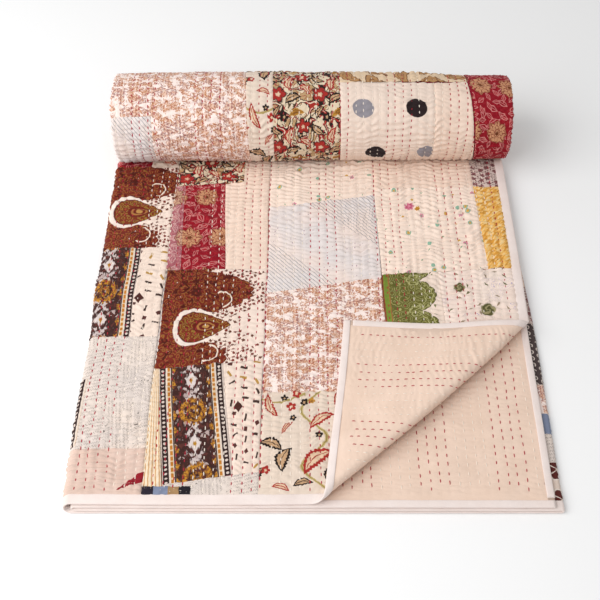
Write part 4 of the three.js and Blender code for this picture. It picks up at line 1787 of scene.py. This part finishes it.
class StageSettings(bpy.types.PropertyGroup):
    """Camera and light."""

    lens: bpy.props.FloatProperty(
        name="Lens", description="Focal length on a sensor 36 mm wide", default=57.0, unit="CAMERA"
    )
    pitch: bpy.props.FloatProperty(
        name="Pitch",
        description="How far the camera looks down",
        default=math.radians(52.6),
        subtype="ANGLE",
    )
    camera_place: bpy.props.FloatVectorProperty(
        name="Camera place",
        description="Where the camera stands",
        default=(-0.0169, -0.81, 1.03),
        subtype="TRANSLATION",
    )
    sky: bpy.props.FloatProperty(
        name="Sky", description="Strength of the light all round", default=0.55
    )
    key: bpy.props.FloatProperty(
        name="Key light", description="Power of the large soft light", default=29.5
    )


class QUILT_OT_cloth(bpy.types.Operator):
    """Make the whole quilted cloth, folded and rolled, with its patches and backing"""

    bl_idname = "quilt.cloth"
    bl_label = "Cloth and patches"

    def execute(self, context):
        settings = context.scene.quilt
        sheet = build_base([fabric_material("mixed"), fabric_material("backing")])
        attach(sheet, "root")
        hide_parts("quilt_cloth")
        coarser = 1.0
        patches = build_patches(settings.patch_grain / MM * coarser)
        backing = build_backing(settings.backing_grain / MM * coarser)
        sheet["quilt_parts"] = ",".join(obj.name for obj in patches + backing)
        return {"FINISHED"}


class QUILT_OT_thread(bpy.types.Operator):
    """Sew the rows of running stitch"""

    bl_idname = "quilt.thread"
    bl_label = "Quilting thread"

    def execute(self, context):
        for colour in ("red", "cream"):
            build_thread(colour, context.scene.quilt)
        return {"FINISHED"}


class QUILT_OT_binding(bpy.types.Operator):
    """Bind the edges"""

    bl_idname = "quilt.binding"
    bl_label = "Edge binding"

    def execute(self, context):
        build_binding()
        return {"FINISHED"}


class QUILT_OT_declare(bpy.types.Operator):
    """Remove the list of patches and backing kept on the sheet"""

    bl_idname = "quilt.declare"
    bl_label = "State the sheet's size"

    def execute(self, context):
        sheet = bpy.data.objects["quilt_sheet"]
        del sheet["quilt_parts"]
        return {"FINISHED"}


FLOOR_SIZE = 12
FLOOR_DROP = 0.0002
LAMP_PLACE = (-1.2, -0.5, 1.3)
LAMP_SIZE = (2.0, 1.6)
SENSOR_WIDTH = 36


class QUILT_OT_stage(bpy.types.Operator):
    """Set the floor, the light and the camera"""

    bl_idname = "quilt.stage"
    bl_label = "Floor, light and camera"

    def execute(self, context):
        settings = context.scene.quilt_stage
        scene = context.scene
        bpy.ops.mesh.primitive_plane_add(size=FLOOR_SIZE, location=(0, 0, -FLOOR_DROP))
        floor = context.object
        floor.name = "floor"
        floor.data.materials.append(floor_material())
        world = bpy.data.worlds.new("studio")
        scene.world = world
        world.use_nodes = True
        sky = world.node_tree.nodes["Background"].inputs
        sky["Color"].default_value = (1, 1, 1, 1)
        sky["Strength"].default_value = settings.sky
        light = bpy.data.lights.new("soft_light", "AREA")
        light.shape = "RECTANGLE"
        light.size, light.size_y = LAMP_SIZE
        light.energy = settings.key
        lamp = bpy.data.objects.new("soft_light", light)
        lamp.location = LAMP_PLACE
        direction = mathutils.Vector((0, 0, 0)) - lamp.location
        lamp.rotation_euler = direction.to_track_quat("-Z", "Y").to_euler()
        scene.collection.objects.link(lamp)
        data = bpy.data.cameras.new("camera")
        data.sensor_width = SENSOR_WIDTH
        data.lens = settings.lens
        camera = bpy.data.objects.new("camera", data)
        camera.location = settings.camera_place
        camera.rotation_euler = (math.pi / 2 - settings.pitch, 0, 0)
        scene.collection.objects.link(camera)
        scene.camera = camera
        scene.view_settings.view_transform = "Standard"
        return {"FINISHED"}


class QUILT_PT_panel(bpy.types.Panel):
    """The quilt's steps in the order in which they are run."""

    bl_label = "Quilt"
    bl_idname = "QUILT_PT_panel"
    bl_space_type = "VIEW_3D"
    bl_region_type = "UI"
    bl_category = "Quilt"

    def draw(self, context):
        column = self.layout.column()
        for name in QuiltSettings.__annotations__:
            column.prop(context.scene.quilt, name)
        for name in StageSettings.__annotations__:
            column.prop(context.scene.quilt_stage, name)
        for step in STEPS:
            column.operator(step.bl_idname)


STEPS = (QUILT_OT_cloth, QUILT_OT_thread, QUILT_OT_binding, QUILT_OT_declare, QUILT_OT_stage)
CLASSES = (QuiltSettings, StageSettings) + STEPS + (QUILT_PT_panel,)


def register():
    for cls in CLASSES:
        bpy.utils.register_class(cls)
    bpy.types.Scene.quilt = bpy.props.PointerProperty(type=QuiltSettings)
    bpy.types.Scene.quilt_stage = bpy.props.PointerProperty(type=StageSettings)


def unregister():
    del bpy.types.Scene.quilt
    del bpy.types.Scene.quilt_stage
    for cls in reversed(CLASSES):
        bpy.utils.unregister_class(cls)


def main():
    register()
    bpy.ops.quilt.cloth()
    bpy.ops.quilt.thread()
    bpy.ops.quilt.binding()
    bpy.ops.quilt.declare()
    bpy.ops.quilt.stage()


if __name__ == "__main__":
    main()
